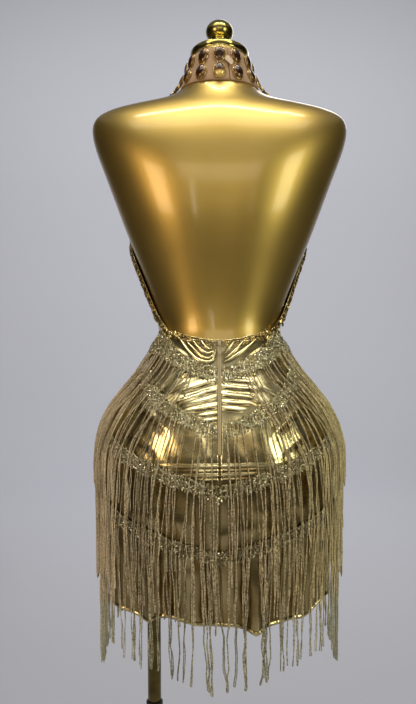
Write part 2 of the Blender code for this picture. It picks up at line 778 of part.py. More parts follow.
def make_edge_trims():
    """Jewelled braid along each free edge of the bodice, knotted at even steps."""
    out = BODICE_OUT + TRIM_GAP + BRAID_SEAT * BRAID_WIDE
    levels = (BRAID_BOTTOM, *TORSO_LEVELS[1:-1], BRAID_TOP)
    for side, name in enumerate(("edge_trim_right", "edge_trim_left")):
        places = []
        for level in levels:
            edge = bodice_edges(level)[side]
            places.append((edge + (-BRAID_INSET if side else BRAID_INSET), level))
        points = [moved_out(form_point, angle, height, out) for angle, height in places]
        normals = [outward(form_point, angle, height) for angle, height in places]
        travelled = [0.0]
        for before, after in zip(points, points[1:]):
            travelled.append(travelled[-1] + (after - before).length)
        knots = round(2 * travelled[-1] / BRAID_PITCH)
        centres, faces_out, radii = [], [], []
        place = 0
        for knot in range(knots + 1):
            target = travelled[-1] * knot / knots
            while place < len(points) - 2 and travelled[place + 1] < target:
                place += 1
            share = (target - travelled[place]) / (travelled[place + 1] - travelled[place])
            centres.append(points[place].lerp(points[place + 1], share))
            faces_out.append(normals[place].lerp(normals[place + 1], share))
            radii.append(BRAID_WIDE if knot % 2 else BRAID_NARROW)
        add_tube(name, centres, radii, 4, "stone_gold", faces_out)


def make_waist_trims():
    """Narrow gold braid along the dipped back edge, one length on each side of the zip."""
    start = angle_across(SKIRT.at(NECKLINE_BACK), ZIP_CLEARANCE)
    steps = 9
    for name, mirrored in (("waist_trim_right", False), ("waist_trim_left", True)):
        centres, normals = [], []
        for step in range(steps + 1):
            angle = start + (NECKLINE_BRAID_END - start) * step / steps
            angle = 360 - angle if mirrored else angle
            height = skirt_top(angle) - NECKLINE_BRAID_DROP
            centres.append(on_skirt(angle, height, TRIM_GAP + NECKLINE_BRAID))
            normals.append(outward(plain_skirt_point, angle, height))
        add_tube(name, centres, [NECKLINE_BRAID] * len(centres), 5, "lame_gold", normals)


def make_zip_tape():
    heights = [level for level in BACK_LEVELS if ZIP_BOTTOM < level < ZIP_TOP - 0.02]
    heights = [ZIP_BOTTOM, *heights, ZIP_TOP - 0.011, ZIP_TOP]
    places = []
    for height in heights:
        half = angle_across(SKIRT.at(height), ZIP_HALF_WIDTH)
        places.append([(-half, height), (half, height)])
    add_wall("zip_tape", places, plain_skirt_point, TAPE_GAP + ZIP_TAPE, ZIP_TAPE, "nude_mesh")


def zip_frame():
    """Matrix from the slider's own axes to the part's: Z up the zip, -Y straight out of the cloth."""
    height = ZIP_TOP - SLIDER_DROP
    seat = moved_out(plain_skirt_point, 0, height, TAPE_GAP + ZIP_TAPE + CONTACT_GAP)
    out = outward(plain_skirt_point, 0, height)
    across = Vector((1, 0, 0))
    up = out.cross(across).normalized()
    up = up if up.z > 0 else -up
    return Matrix.Translation(seat) @ Matrix((across, -out, up)).transposed().to_4x4()


def box_points(low, high):
    xs, ys, zs = zip(low, high)
    return [Vector((x, y, z)) for z in zs for y in ys for x in xs]


BOX_FACES = ((0, 2, 3, 1), (4, 5, 7, 6), (0, 1, 5, 4), (2, 6, 7, 3), (0, 4, 6, 2), (1, 3, 7, 5))


def make_zip_slider():
    """The slider's plate with the bridge that the pull tab's eye hangs from, as one outline swept across."""
    half = 0.5 * SLIDER_LENGTH
    foot = 0.5 * BRIDGE_OPENING + BRIDGE_WALL
    top = SLIDER_DEPTH + BRIDGE_OPENING + BRIDGE_WALL
    plate = add_solid(
        "zip_slider",
        box_points((-0.5 * SLIDER_WIDTH, -SLIDER_DEPTH, -half), (0.5 * SLIDER_WIDTH, 0, half)),
        BOX_FACES,
        "brass",
    )
    outline = [
        (-0.5 * SLIDER_DEPTH, -foot - BRIDGE_SPLAY),
        (-top, -foot),
        (-top, foot),
        (-0.5 * SLIDER_DEPTH, foot + BRIDGE_SPLAY),
        (-0.5 * SLIDER_DEPTH, foot - BRIDGE_WALL),
        (-top + BRIDGE_WALL, foot - BRIDGE_WALL),
        (-top + BRIDGE_WALL, -foot + BRIDGE_WALL),
        (-0.5 * SLIDER_DEPTH, -foot + BRIDGE_WALL),
    ]
    count = len(outline)
    points = [Vector((0.5 * side * BRIDGE_WIDTH, y, z)) for side in (-1, 1) for y, z in outline]
    faces = [tuple(range(count)), tuple(reversed(range(count, 2 * count)))]
    faces += [(j, (j + 1) % count, count + (j + 1) % count, count + j) for j in range(count)]
    bridge = add_solid("zip_bridge_cutter", points, faces, "brass")
    fix_normals(bridge)
    union = plate.modifiers.new("bridge", "BOOLEAN")
    union.operation = "UNION"
    union.object = bridge
    bridge.hide_render = True
    bridge.display_type = "WIRE"
    frame = zip_frame()
    plate.data.transform(frame)
    bridge.data.transform(frame)


def make_pull_tab():
    """The pull tab, a flat drop with a square eye, hanging from the bridge down the zip."""
    eye = 0.5 * BRIDGE_WIDTH + EYE_CLEARANCE
    outer = [
        (eye + EYE_RIM, EYE_BAR),
        (0.5 * TAB_WIDTH, -0.0045),
        (0.5 * TAB_WIDTH, -0.0095),
        (0.45 * TAB_WIDTH, -0.0125),
        (0.22 * TAB_WIDTH, -TAB_LENGTH),
    ]
    outer = outer + [(-x, z) for x, z in reversed(outer)]
    inner = [(eye, -EYE_BAR), (eye, -EYE_LENGTH), (-eye, -EYE_LENGTH), (-eye, -EYE_BAR)]
    half = 0.5 * TAB_DEPTH
    outline = bmesh.new()
    loops = [[outline.verts.new((x, 0, z)) for x, z in loop] for loop in (outer, inner)]
    edges = []
    for loop in loops:
        for i, vert in enumerate(loop):
            edges.append(outline.edges.new((vert, loop[(i + 1) % len(loop)])))
    bmesh.ops.triangle_fill(outline, use_beauty=True, use_dissolve=False, edges=edges)
    bmesh.ops.translate(outline, verts=outline.verts, vec=(0, -half, 0))
    grown = bmesh.ops.extrude_face_region(outline, geom=list(outline.faces))
    moved = [item for item in grown["geom"] if isinstance(item, bmesh.types.BMVert)]
    bmesh.ops.translate(outline, verts=moved, vec=(0, TAB_DEPTH, 0))
    bmesh.ops.recalc_face_normals(outline, faces=outline.faces)
    mesh = bpy.data.meshes.new("zip_pull_tab")
    outline.to_mesh(mesh)
    outline.free()
    mesh.materials.append(material("brass"))
    tab = bpy.data.objects.new("zip_pull_tab", mesh)
    bpy.context.scene.collection.objects.link(tab)
    frame = zip_frame()
    tab.matrix_world = frame @ Matrix.Translation((0, -PIVOT_OUT, 0))


def zigzag(tier, angle):
    """Height of a band's middle line."""
    turn = angle_apart(angle, 0)
    for low, high in zip(ZIGZAG, ZIGZAG[1:]):
        if turn <= high.angle:
            share = (turn - low.angle) / (high.angle - low.angle)
            return tier.valley + tier.rise * (low.share + (high.share - low.share) * share)
    return tier.valley


def strand_path(tier, angle, root, sway):
    """Middle points of one strand: fanned over the hip, then straight down from where it is widest."""
    start, tip = root - BAND_DROP, root - tier.length
    levels = [level for level in STRAND_LEVELS if tip + TIP_STEP < level < start - STRAND_STEP]
    full_fan = tier.fan * math.sin(math.radians(2 * angle))
    facing = outward(plain_skirt_point, angle + full_fan, HIP_LINE)
    widest = on_skirt(angle, root, BAND_GAP)
    points = []
    for height in (start, *levels, tip):
        share = (root - height) / tier.length
        fan = full_fan * smoothstep(0, FAN_ENDS, share)
        off = tier.root_layer if height == start else tier.layer
        here = on_skirt(angle + fan + sway * share * share, max(height, HEM + HEM_CLEARANCE), off)
        if here.dot(facing) > widest.dot(facing):
            widest = here
        points.append(Vector((widest.x, widest.y, height)))
    return points


def add_fringe(tier):
    """A zigzag band with its strands drawn down from its lower edge, all one solid."""
    chance = random.Random(tier.seed)
    start = angle_across(SKIRT.at(tier.valley), ZIP_CLEARANCE) if tier.open_back else 0.0
    centres = [360 * (index + tier.phase) / STRANDS_A_TIER for index in range(STRANDS_A_TIER)]
    half_band = 0.5 * BAND_HEIGHT
    points, faces = [], []

    def add_points(new):
        points.extend(new)
        return list(range(len(points) - len(new), len(points)))

    def band_pair(angle, side):
        height = zigzag(tier, angle) + side * half_band
        return add_points([on_skirt(angle, height, BAND_GAP + BAND_WALL), on_skirt(angle, height, BAND_GAP)])

    lower, upper = [], []
    if tier.open_back:
        lower.append(band_pair(start, -1))
        upper.append(band_pair(start, 1))
    for angle in centres:
        root = zigzag(tier, angle) - half_band
        here = plain_skirt_point(angle, root)
        degree = (plain_skirt_point(angle + 0.5, root) - here).length / 0.5
        half_strand = 0.5 * STRAND_WIDTH / degree
        left = band_pair(angle - half_strand, -1)
        right = band_pair(angle + half_strand, -1)
        top = band_pair(angle, 1)
        lower += [left, right]
        upper.append(top)
        faces.append((left[0], right[0], top[0]))
        faces.append((right[1], left[1], top[1]))
        from_side = angle_apart(angle_apart(angle, 0), SIDE_SEAM)
        longer = tier.length + tier.side_extra * math.exp(-((from_side / SIDE_SPREAD) ** 2))
        longer = tier._replace(length=longer + chance.uniform(-LENGTH_SPREAD, LENGTH_SPREAD))
        path = strand_path(longer, angle, root, chance.uniform(-STRAND_SWAY, STRAND_SWAY))
        across = (points[right[0]] - points[left[0]]).normalized()
        out = outward(plain_skirt_point, angle, HIP_LINE)
        out.z = 0
        out.normalize()
        ring = [left[0], right[0], right[1], left[1]]
        for middle in path:
            corners = []
            for aside, forward in ((-0.5, 0.3), (0.5, 0.3), (0.0, -0.7)):
                shift = aside * STRAND_TAPER * STRAND_WIDTH * across + forward * STRAND_DEPTH * out
                corners.append(middle + shift)
            new = add_points(corners)
            if len(ring) == 4:
                faces.append((ring[0], new[0], new[1], ring[1]))
                faces.append((ring[1], new[1], new[2], ring[2]))
                faces.append((ring[2], new[2], ring[3]))
                faces.append((ring[3], new[2], new[0], ring[0]))
            else:
                for i in range(3):
                    k = (i + 1) % 3
                    faces.append((ring[i], new[i], new[k], ring[k]))
            ring = new
        faces.append(tuple(reversed(ring)))
    if tier.open_back:
        lower.append(band_pair(360 - start, -1))
        upper.append(band_pair(360 - start, 1))
        pairs = [(lower[2 * i], lower[2 * i + 1], upper[i], upper[i + 1]) for i in range(len(upper) - 1)]
        faces.append((lower[0][0], upper[0][0], upper[0][1], lower[0][1]))
        faces.append((lower[-1][0], lower[-1][1], upper[-1][1], upper[-1][0]))
    else:
        count = len(upper)
        pairs = [
            (lower[2 * i + 1], lower[(2 * i + 2) % (2 * count)], upper[i], upper[(i + 1) % count])
            for i in range(count)
        ]
    for low, next_low, high, next_high in pairs:
        faces.append((low[0], next_low[0], next_high[0], high[0]))
        faces.append((next_low[1], low[1], high[1], next_high[1]))
        faces.append((high[0], next_high[0], next_high[1], high[1]))
        faces.append((next_low[0], low[0], low[1], next_low[1]))
    add_solid(tier.name, points, faces, "fringe_gold")


def main():
    clear_scene()
    make_form()
    make_cap_and_finial()
    make_stand()
    make_skirt()
    make_bodice()
    make_collar()
    make_stones()
    make_edge_trims()
    make_waist_trims()
    make_zip_tape()
    make_zip_slider()
    make_pull_tab()
    for tier in TIERS:
        add_fringe(tier)


main()
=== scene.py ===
"""Looks of a fringed backless halter party dress on its dress form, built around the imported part.

Metres, +Z up, -Y the back of the dress. Angles go round the body in degrees: 0 is the centre back, 90 the
wearer's right and 180 the front.
"""

import math
import random
from collections import namedtuple
from functools import partial

import bmesh
import bpy
from mathutils import Matrix, Vector


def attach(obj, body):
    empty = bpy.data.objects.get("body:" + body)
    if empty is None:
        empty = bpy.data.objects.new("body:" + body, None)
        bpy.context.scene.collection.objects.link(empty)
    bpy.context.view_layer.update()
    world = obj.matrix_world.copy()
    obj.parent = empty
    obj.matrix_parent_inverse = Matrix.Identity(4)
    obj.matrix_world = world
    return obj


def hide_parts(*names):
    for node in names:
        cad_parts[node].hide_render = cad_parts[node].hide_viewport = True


bl_info = {
    "name": "Fringed party dress",
    "version": (1, 0, 0),
    "blender": (4, 5, 0),
    "location": "3D View > Sidebar > Dress",
    "description": "Dresses the packed frame of a backless halter dress on its form",
    "category": "Object",
}

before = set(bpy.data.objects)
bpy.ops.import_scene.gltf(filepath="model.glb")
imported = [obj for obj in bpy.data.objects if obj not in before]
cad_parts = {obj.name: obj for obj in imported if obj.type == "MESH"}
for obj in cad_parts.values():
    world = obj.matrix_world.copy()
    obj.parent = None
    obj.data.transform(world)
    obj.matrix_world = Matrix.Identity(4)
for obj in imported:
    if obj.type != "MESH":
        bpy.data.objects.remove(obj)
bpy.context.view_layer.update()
BODY = "dress_on_form"


def table(kind, *rows):
    """Rows of plain numbers, each column with its name."""
    return tuple(kind(*row) for row in rows)


Section = namedtuple("Section", "height side back front roundness")
FORM_SECTIONS = table(
    Section,
    (1.03, 0.102, 0.085, 0.089, 2.2), (1.058, 0.093, 0.0795, 0.0845, 2.2),
    (1.085, 0.0985, 0.08, 0.086, 2.2), (1.11, 0.1075, 0.083, 0.09, 2.2), (1.15, 0.123, 0.09, 0.098, 2.2),
    (1.19, 0.1395, 0.098, 0.103, 2.25), (1.24, 0.1585, 0.106, 0.102, 2.3),
    (1.29, 0.1765, 0.109, 0.092, 2.35), (1.33, 0.1925, 0.105, 0.079, 2.4),
    (1.36, 0.2005, 0.096, 0.067, 2.4), (1.374, 0.1999, 0.09, 0.061, 2.35),
    (1.387, 0.192, 0.083, 0.056, 2.3), (1.395, 0.176, 0.078, 0.053, 2.25),
    (1.4, 0.155, 0.0745, 0.051, 2.2), (1.405, 0.124, 0.071, 0.049, 2.15),
    (1.411, 0.095, 0.0675, 0.047, 2.1), (1.418, 0.076, 0.064, 0.045, 2.05),
    (1.427, 0.0625, 0.06, 0.043, 2.0), (1.44, 0.053, 0.0565, 0.042, 2.0),
    (1.458, 0.0462, 0.0535, 0.0425, 2.0), (1.476, 0.044, 0.0515, 0.0445, 2.0),
)
SKIRT_SECTIONS = table(
    Section,
    (0.6, 0.175, 0.126, 0.113, 2.2), (0.66, 0.179, 0.1285, 0.115, 2.2), (0.73, 0.185, 0.132, 0.117, 2.2),
    (0.79, 0.1888, 0.1365, 0.1175, 2.2), (0.83, 0.1898, 0.1395, 0.1175, 2.2),
    (0.87, 0.1888, 0.1398, 0.116, 2.2), (0.905, 0.1814, 0.136, 0.1138, 2.2),
    (0.94, 0.166, 0.1265, 0.1105, 2.2), (0.97, 0.144, 0.113, 0.1055, 2.2),
    (1.0, 0.1205, 0.0997, 0.0995, 2.2), (1.03, 0.1062, 0.0895, 0.093, 2.2),
    (1.058, 0.0968, 0.0833, 0.0882, 2.2), (1.08, 0.0965, 0.083, 0.088, 2.2),
)
WAIST, NECKLINE_BACK, HEM, NECK_TOP = 1.0575, 1.0445, 0.628, 1.476
DIP_REACH, HEM_RISE, FLUTE_DROP, HEM_BEND, DIP_ENDS = 52, 0.020, 0.8, 0.07, 1.000
SPINE_DEPTH, SPINE_WIDTH = 0.004, 0.028
CUP_DEPTH, CUP_CENTRE, CUP_SPREAD = 0.016, (0.078, 1.205), (0.052, 0.058)
NECK_LEAN = math.tan(math.radians(10))
BODICE_OUT = 0.0043
BRAID_STEP = 0.0011
WAIST_RADIUS = 0.098
CLOTH_WALL = 0.0014

Edge = namedtuple("Edge", "height right left")
BODICE_EDGE = table(
    Edge,
    (1.058, 52.0, 52.0), (1.07, 64.0, 62.0), (1.083, 75.0, 71.0), (1.106, 87.0, 78.0),
    (1.132, 93.0, 83.0), (1.176, 99.0, 91.0), (1.2, 108.0, 103.0), (1.24, 129.0, 128.0),
    (1.3, 145.0, 145.0), (1.36, 155.0, 155.0), (1.387, 156.0, 156.0), (1.4, 150.0, 150.0),
    (1.409, 134.0, 134.0), (1.416, 117.0, 117.0), (1.424, 97.0, 97.0), (1.434, 90.0, 90.0),
)
Flute = namedtuple("Flute", "angle spread depth")
FLUTES = table(
    Flute,
    (16, 7, 0.0085), (38, 12, -0.005), (60, 10, 0.0055), (84, 12, -0.0045), (106, 11, 0.0055),
    (130, 12, -0.0045), (153, 10, 0.0045), (176, 12, -0.004), (201, 10, 0.0045), (226, 12, -0.0045),
    (250, 11, 0.005), (275, 12, -0.0045), (298, 10, 0.0055), (317, 10, -0.004), (336, 9, 0.006),
    (356, 9, -0.004),
)
FLUTES_START = 0.770
# The hem as it drapes over the back: at a turn in degrees, its level
Drape = namedtuple("Drape", "turn level")
HEM_DRAPE = table(
    Drape,
    (-84, 0.646), (-62, 0.637), (-48, 0.632), (-35, 0.625), (-29, 0.634), (-23, 0.64), (-15, 0.634),
    (-7, 0.627), (4, 0.628), (10, 0.624), (14.5, 0.617), (19, 0.624), (30, 0.627), (43, 0.626),
    (50, 0.636), (58, 0.647), (76, 0.65),
)
# Narrow upright folds of the lower skirt: their angle, half width in degrees and height
UPRIGHT_FOLDS = table(
    Flute,
    (14.5, 2.2, 0.003), (10.0, 2.6, -0.0026), (21.0, 3.5, -0.0018), (30.0, 3.0, 0.0014),
    (38.0, 3.5, -0.0016), (47.0, 3.0, 0.0016), (2.0, 2.5, 0.0012), (355.0, 3.0, -0.0016),
    (347.0, 2.6, 0.0014), (338.0, 4.0, -0.002), (327.0, 2.8, 0.0018), (318.0, 3.4, -0.0016),
    (306.0, 3.0, 0.0016), (62.0, 4.0, -0.0014), (120.0, 4.0, 0.0015), (148.0, 4.0, -0.0015),
    (166.0, 3.5, 0.0014), (190.0, 4.0, -0.0014), (214.0, 3.5, 0.0015), (238.0, 4.0, -0.0014),
)

# Creases of the tight skirt: where their middle is, how they climb, how far they reach, how wide and high
Crease = namedtuple("Crease", "x height slope reach width depth")
BACK_CREASES = table(
    Crease,
    (0.0278, 0.9961, -0.06, 0.029, 0.0026, 0.0014), (0.0261, 0.9857, -0.12, 0.03, 0.0034, 0.0022),
    (0.0268, 0.9764, -0.1, 0.032, 0.0036, 0.0025), (0.024, 0.9655, -0.1, 0.029, 0.0038, 0.0025),
    (0.0242, 0.9558, -0.06, 0.024, 0.003, 0.0019), (0.0181, 0.9471, -0.12, 0.018, 0.0026, 0.0014),
    (0.0402, 0.9997, -0.22, 0.015, 0.0026, 0.0014), (0.048, 0.96, -0.34, 0.016, 0.0024, 0.0011),
    (-0.0303, 0.9794, 0.31, 0.031, 0.004, 0.0019), (-0.034, 0.9647, 0.32, 0.036, 0.0042, 0.0021),
    (-0.03, 0.9573, 0.24, 0.031, 0.0034, 0.0019), (-0.023, 0.9483, 0.14, 0.024, 0.0034, 0.0018),
    (-0.0143, 0.9393, 0.14, 0.016, 0.0026, 0.0018), (-0.0136, 0.9317, 0.12, 0.014, 0.0024, 0.0016),
    (-0.0457, 0.9944, 0.19, 0.018, 0.003, 0.0014), (-0.012, 0.972, 0.1, 0.012, 0.0022, 0.001),
    (0.0007, 0.8674, 0.02, 0.09, 0.0019, 0.0026), (0.0007, 0.8541, 0.03, 0.066, 0.0019, 0.0024),
    (-0.057, 1.025, -0.62, 0.016, 0.0028, 0.0016), (-0.049, 1.012, -0.5, 0.015, 0.0026, 0.0014),
    (0.056, 1.026, 0.6, 0.016, 0.0028, 0.0016), (0.047, 1.013, 0.48, 0.016, 0.0026, 0.0014),
    (0.1, 0.93, 0.75, 0.028, 0.006, 0.0017), (0.118, 0.902, 0.55, 0.03, 0.007, 0.0015),
    (0.09, 0.985, -0.7, 0.02, 0.004, 0.0016), (0.101, 0.993, -0.85, 0.022, 0.0036, 0.0014),
    (0.076, 0.97, -0.55, 0.018, 0.0044, 0.0013), (-0.098, 0.936, -0.8, 0.026, 0.006, 0.0017),
    (-0.12, 0.905, -0.6, 0.03, 0.007, 0.0015), (-0.078, 0.984, 0.95, 0.022, 0.0046, 0.0018),
    (-0.09, 0.97, 0.8, 0.022, 0.005, 0.0016), (-0.064, 0.976, 0.6, 0.018, 0.004, 0.0014),
    (0.09, 0.8, 0.1, 0.05, 0.01, 0.0013), (-0.085, 0.785, -0.14, 0.05, 0.011, 0.0014),
    (0.03, 0.77, 0.22, 0.045, 0.009, 0.0011), (-0.04, 0.735, 0.3, 0.045, 0.01, 0.0012),
)
FRONT_CREASES = table(
    Crease,
    (0.05, 0.99, -0.35, 0.04, 0.004, 0.0014), (-0.055, 0.986, 0.32, 0.038, 0.0042, 0.0014),
    (0.03, 0.964, -0.18, 0.04, 0.0036, 0.0015), (-0.025, 0.956, 0.14, 0.04, 0.0034, 0.0015),
    (0.045, 0.94, -0.2, 0.042, 0.004, 0.0014), (-0.04, 0.93, 0.22, 0.04, 0.004, 0.0013),
    (0.09, 0.922, -0.6, 0.03, 0.006, 0.0015), (-0.095, 0.916, 0.62, 0.03, 0.006, 0.0015),
    (0.01, 0.868, 0.05, 0.07, 0.0048, 0.0012), (-0.03, 0.848, -0.06, 0.06, 0.0052, 0.0012),
    (0.07, 0.79, 0.15, 0.05, 0.01, 0.0012), (-0.08, 0.77, -0.12, 0.05, 0.011, 0.0012),
)
BODICE_CREASES = table(
    Crease,
    (0.02, 1.085, -0.5, 0.03, 0.0045, 0.0012), (-0.024, 1.09, 0.55, 0.03, 0.0045, 0.0012),
    (0.055, 1.11, -0.8, 0.03, 0.0055, 0.0013), (-0.058, 1.115, 0.85, 0.03, 0.0055, 0.0013),
    (0.085, 1.13, -0.5, 0.026, 0.006, 0.0011), (-0.088, 1.126, 0.5, 0.026, 0.006, 0.0011),
    (0.0, 1.21, 0.05, 0.034, 0.005, 0.0012), (0.004, 1.228, -0.06, 0.028, 0.0045, 0.0011),
    (-0.003, 1.192, 0.03, 0.03, 0.0045, 0.0011),
)
# Pleats that fan from the collar over the bust: their angle at the collar and at the bust, the height at
# which they end, and how wide and high they are
Pleat = namedtuple("Pleat", "top bottom end width depth")
PLEATS = table(
    Pleat,
    (168, 160, 1.235, 2.6, 0.0014), (178, 172, 1.25, 2.2, 0.0011), (188, 193, 1.24, 2.4, 0.0013),
    (197, 205, 1.225, 2.7, 0.0014), (158, 149, 1.26, 2.6, 0.0012), (206, 215, 1.265, 2.5, 0.0012),
)

# The bands' zigzag: how far each has climbed at an angle from the centre back
Bend = namedtuple("Bend", "angle share")
ZIGZAG = (Bend(0, 0.0), Bend(60, 1.0), Bend(95, 0.5), Bend(133, 1.0), Bend(180, 0.0))
# The tiers of fringe: height of the band at the centre, its rise, length of the strands and what the hips
# add, how near and far they hang, how far they fan out, their number, the seed and the thread's thickness
Tier = namedtuple("Tier", "name valley rise length side_extra near far fan strands seed thread")
TIERS = (
    Tier("fringe_tier_1", 0.9915, 0.043, 0.200, 0.000, 0.0062, 0.0100, 23.0, 112, 31, 0.80),
    Tier("fringe_tier_2", 0.9120, 0.080, 0.208, 0.000, 0.0050, 0.0080, 8.0, 136, 32, 0.80),
    Tier("fringe_tier_3", 0.8280, 0.062, 0.192, 0.000, 0.0040, 0.0062, 3.0, 136, 33, 0.85),
    Tier("fringe_tier_4", 0.7300, 0.056, 0.187, 0.050, 0.0034, 0.0050, 0.0, 128, 34, 1.10),
)
HALF_BAND = 0.011
PHASE_RANGE = 6.28
OPEN_TIERS = ("fringe_tier_1", "fringe_tier_2")

# Curled folds of cloth under the back neckline: points (x, height) and the fold's half width at each
COWL_FOLDS = (
    ((-0.064, 1.05, 0.0012), (-0.056, 1.0411, 0.0026), (-0.0477, 1.0289, 0.0032),
     (-0.0381, 1.0191, 0.0034), (-0.0279, 1.0129, 0.0034), (-0.017, 1.011, 0.0032),
     (-0.0092, 1.0148, 0.0026), (-0.0062, 1.0239, 0.0016), (-0.0056, 1.03, 0.0008)),
    ((-0.0478, 1.0412, 0.001), (-0.0398, 1.0328, 0.002), (-0.0327, 1.025, 0.0024),
     (-0.0241, 1.0185, 0.0024), (-0.0155, 1.017, 0.0022), (-0.01, 1.0209, 0.0016),
     (-0.0076, 1.027, 0.0009)),
    ((-0.0391, 1.0429, 0.001), (-0.0328, 1.0345, 0.0022), (-0.0257, 1.0276, 0.0026),
     (-0.0179, 1.0242, 0.0024), (-0.0118, 1.0257, 0.0016), (-0.009, 1.0292, 0.0009)),
    ((-0.0265, 1.0428, 0.0009), (-0.0242, 1.0384, 0.0019), (-0.0195, 1.033, 0.0023),
     (-0.0145, 1.0307, 0.0018), (-0.011, 1.0318, 0.0009)),
    ((-0.0575, 1.0455, 0.0008), (-0.0494, 1.0425, 0.0016), (-0.0415, 1.0434, 0.0016),
     (-0.0352, 1.044, 0.0008)),
    ((0.0558, 1.0457, 0.001), (0.0445, 1.0359, 0.0024), (0.0326, 1.0268, 0.0032),
     (0.0216, 1.0193, 0.0032), (0.0131, 1.0145, 0.0024), (0.0069, 1.0125, 0.001)),
    ((0.0359, 1.0437, 0.0009), (0.0295, 1.0353, 0.0022), (0.0225, 1.0276, 0.0028),
     (0.0147, 1.0208, 0.0024), (0.0077, 1.0178, 0.001)),
    ((0.0225, 1.0428, 0.0008), (0.0182, 1.0369, 0.0018), (0.0128, 1.03, 0.0022), (0.0088, 1.0247, 0.0014),
     (0.0066, 1.0231, 0.0008)),
    ((0.0462, 1.0443, 0.0008), (0.0398, 1.0421, 0.0013), (0.0327, 1.0425, 0.001),
     (0.0288, 1.043, 0.0006)),
)


def smoothstep(low, high, value):
    """From 0 at low to 1 at high, which may also lie below low."""
    share = min(1.0, max(0.0, (value - low) / (high - low)))
    return share * share * (3 - 2 * share)


def hump(off, width):
    """A bell of height 1 at 0."""
    return math.exp(-((off / width) ** 2))


def gentle_slopes(knots, values):
    """Slopes for a cubic through the values that never swings past them."""
    rates = [(b - a) / (high - low) for low, high, a, b in zip(knots, knots[1:], values, values[1:])]
    found = [rates[0]]
    for before, after in zip(rates, rates[1:]):
        found.append(0.0 if before * after <= 0 else 2 * before * after / (before + after))
    return [*found, rates[-1]]


class Smooth:
    """A table read at any value of its first column, the others on a smooth curve."""

    def __init__(self, rows):
        self.kind = type(rows[0])
        self.knots = [row[0] for row in rows]
        self.columns = list(zip(*rows))
        self.slopes = [gentle_slopes(self.knots, column) for column in self.columns]
        self.known = {}

    def at(self, value):
        key = round(value, 5)
        if key not in self.known:
            self.known[key] = self.read(min(self.knots[-1], max(self.knots[0], key)))
        return self.known[key]

    def read(self, value):
        place = 0
        while place < len(self.knots) - 2 and self.knots[place + 1] < value:
            place += 1
        step = self.knots[place + 1] - self.knots[place]
        share = (value - self.knots[place]) / step
        first = (1 + 2 * share) * (1 - share) ** 2
        second = share * (1 - share) ** 2 * step
        third = share * share * (3 - 2 * share)
        fourth = share * share * (share - 1) * step
        return self.kind(*(
            first * column[place] + second * slope[place]
            + third * column[place + 1] + fourth * slope[place + 1]
            for column, slope in zip(self.columns, self.slopes)
        ))


FORM, SKIRT, ARMHOLE = Smooth(FORM_SECTIONS), Smooth(SKIRT_SECTIONS), Smooth(BODICE_EDGE)
DRAPED_HEM = Smooth(HEM_DRAPE)


def ring_point(section, angle):
    turn = math.radians(angle)
    sine, cosine = math.sin(turn), math.cos(turn)
    power = 2 / section.roundness
    depth = section.back if cosine > 0 else section.front
    x = section.side * math.copysign(abs(sine) ** power, sine)
    return x, -depth * math.copysign(abs(cosine) ** power, cosine)


def angle_across(section, x):
    """Angle on the back half of a ring where it reaches x."""
    return math.copysign(math.degrees(math.asin((abs(x) / section.side) ** (section.roundness / 2))), x)


def angle_apart(first, second):
    return abs((first - second + 180) % 360 - 180)


def form_point(angle, height):
    """The dress form's surface, as in the part's source."""
    x, y = ring_point(FORM.at(height), angle)
    cosine = math.cos(math.radians(angle))
    if cosine > 0:
        spine = smoothstep(1.06, 1.14, height) * (1 - smoothstep(1.33, 1.41, height))
        y += SPINE_DEPTH * spine * hump(x, SPINE_WIDTH)
    else:
        across = (abs(x) - CUP_CENTRE[0]) / CUP_SPREAD[0]
        along = (height - CUP_CENTRE[1]) / CUP_SPREAD[1]
        y += CUP_DEPTH * -cosine * math.exp(-(across**2) - along**2)
    return Vector((x, y, height - y * NECK_LEAN * smoothstep(1.430, NECK_TOP, height)))


def folded(folds, angle):
    return sum(f.depth * hump(angle_apart(angle, f.angle), f.spread) for f in folds)


def flute(angle, height):
    free = smoothstep(0, FLUTES_START - HEM, FLUTES_START - height)
    return free * folded(FLUTES, angle) if free else 0.0


def skirt_point(angle, height):
    """The skirt's outer surface with its hem flutes, as in the part's source."""
    x, y = ring_point(SKIRT.at(height), angle)
    out = 1 + flute(angle, height) / math.hypot(x, y)
    return Vector((x * out, y * out, height))


def outward(surface, angle, height):
    around = surface(angle + 0.4, height) - surface(angle - 0.4, height)
    upward = surface(angle, height + 0.002) - surface(angle, height - 0.002)
    return around.cross(upward).normalized()


def moved_out(surface, angle, height, distance):
    return surface(angle, height) + distance * outward(surface, angle, height)


def axes_on(surface, angle, height, distance, turn=0.0, tilt=None):
    """Matrix of a small thing that lies on a surface: X across, Y up and Z out of it."""
    normal = outward(surface, angle, height)
    if tilt:
        normal = (normal + tilt).normalized()
    up = Vector((0, 0, 1)) - normal.z * normal
    up.normalize()
    across = up.cross(normal)
    spin = math.radians(turn)
    side = math.cos(spin) * across + math.sin(spin) * up
    rise = math.cos(spin) * up - math.sin(spin) * across
    matrix = Matrix((side, rise, normal)).transposed().to_4x4()
    matrix.translation = moved_out(surface, angle, height, distance)
    return matrix


def creased(creases, x, height):
    """Height of the creases at a place of the cloth."""
    found = 0.0
    for fold in creases:
        along = abs(x - fold.x) / fold.reach
        if along < 1:
            line = fold.height + fold.slope * (x - fold.x)
            off = (height - line) / fold.width
            if abs(off) < 3.2:
                ridge = hump(off, 1) - 0.55 * hump(off + 1.5, 1)
                found += fold.depth * ridge * (1 - along**2)
    return found


def skirt_top(angle):
    return NECKLINE_BACK + (WAIST - NECKLINE_BACK) * smoothstep(0, DIP_REACH, angle_apart(angle, 0))


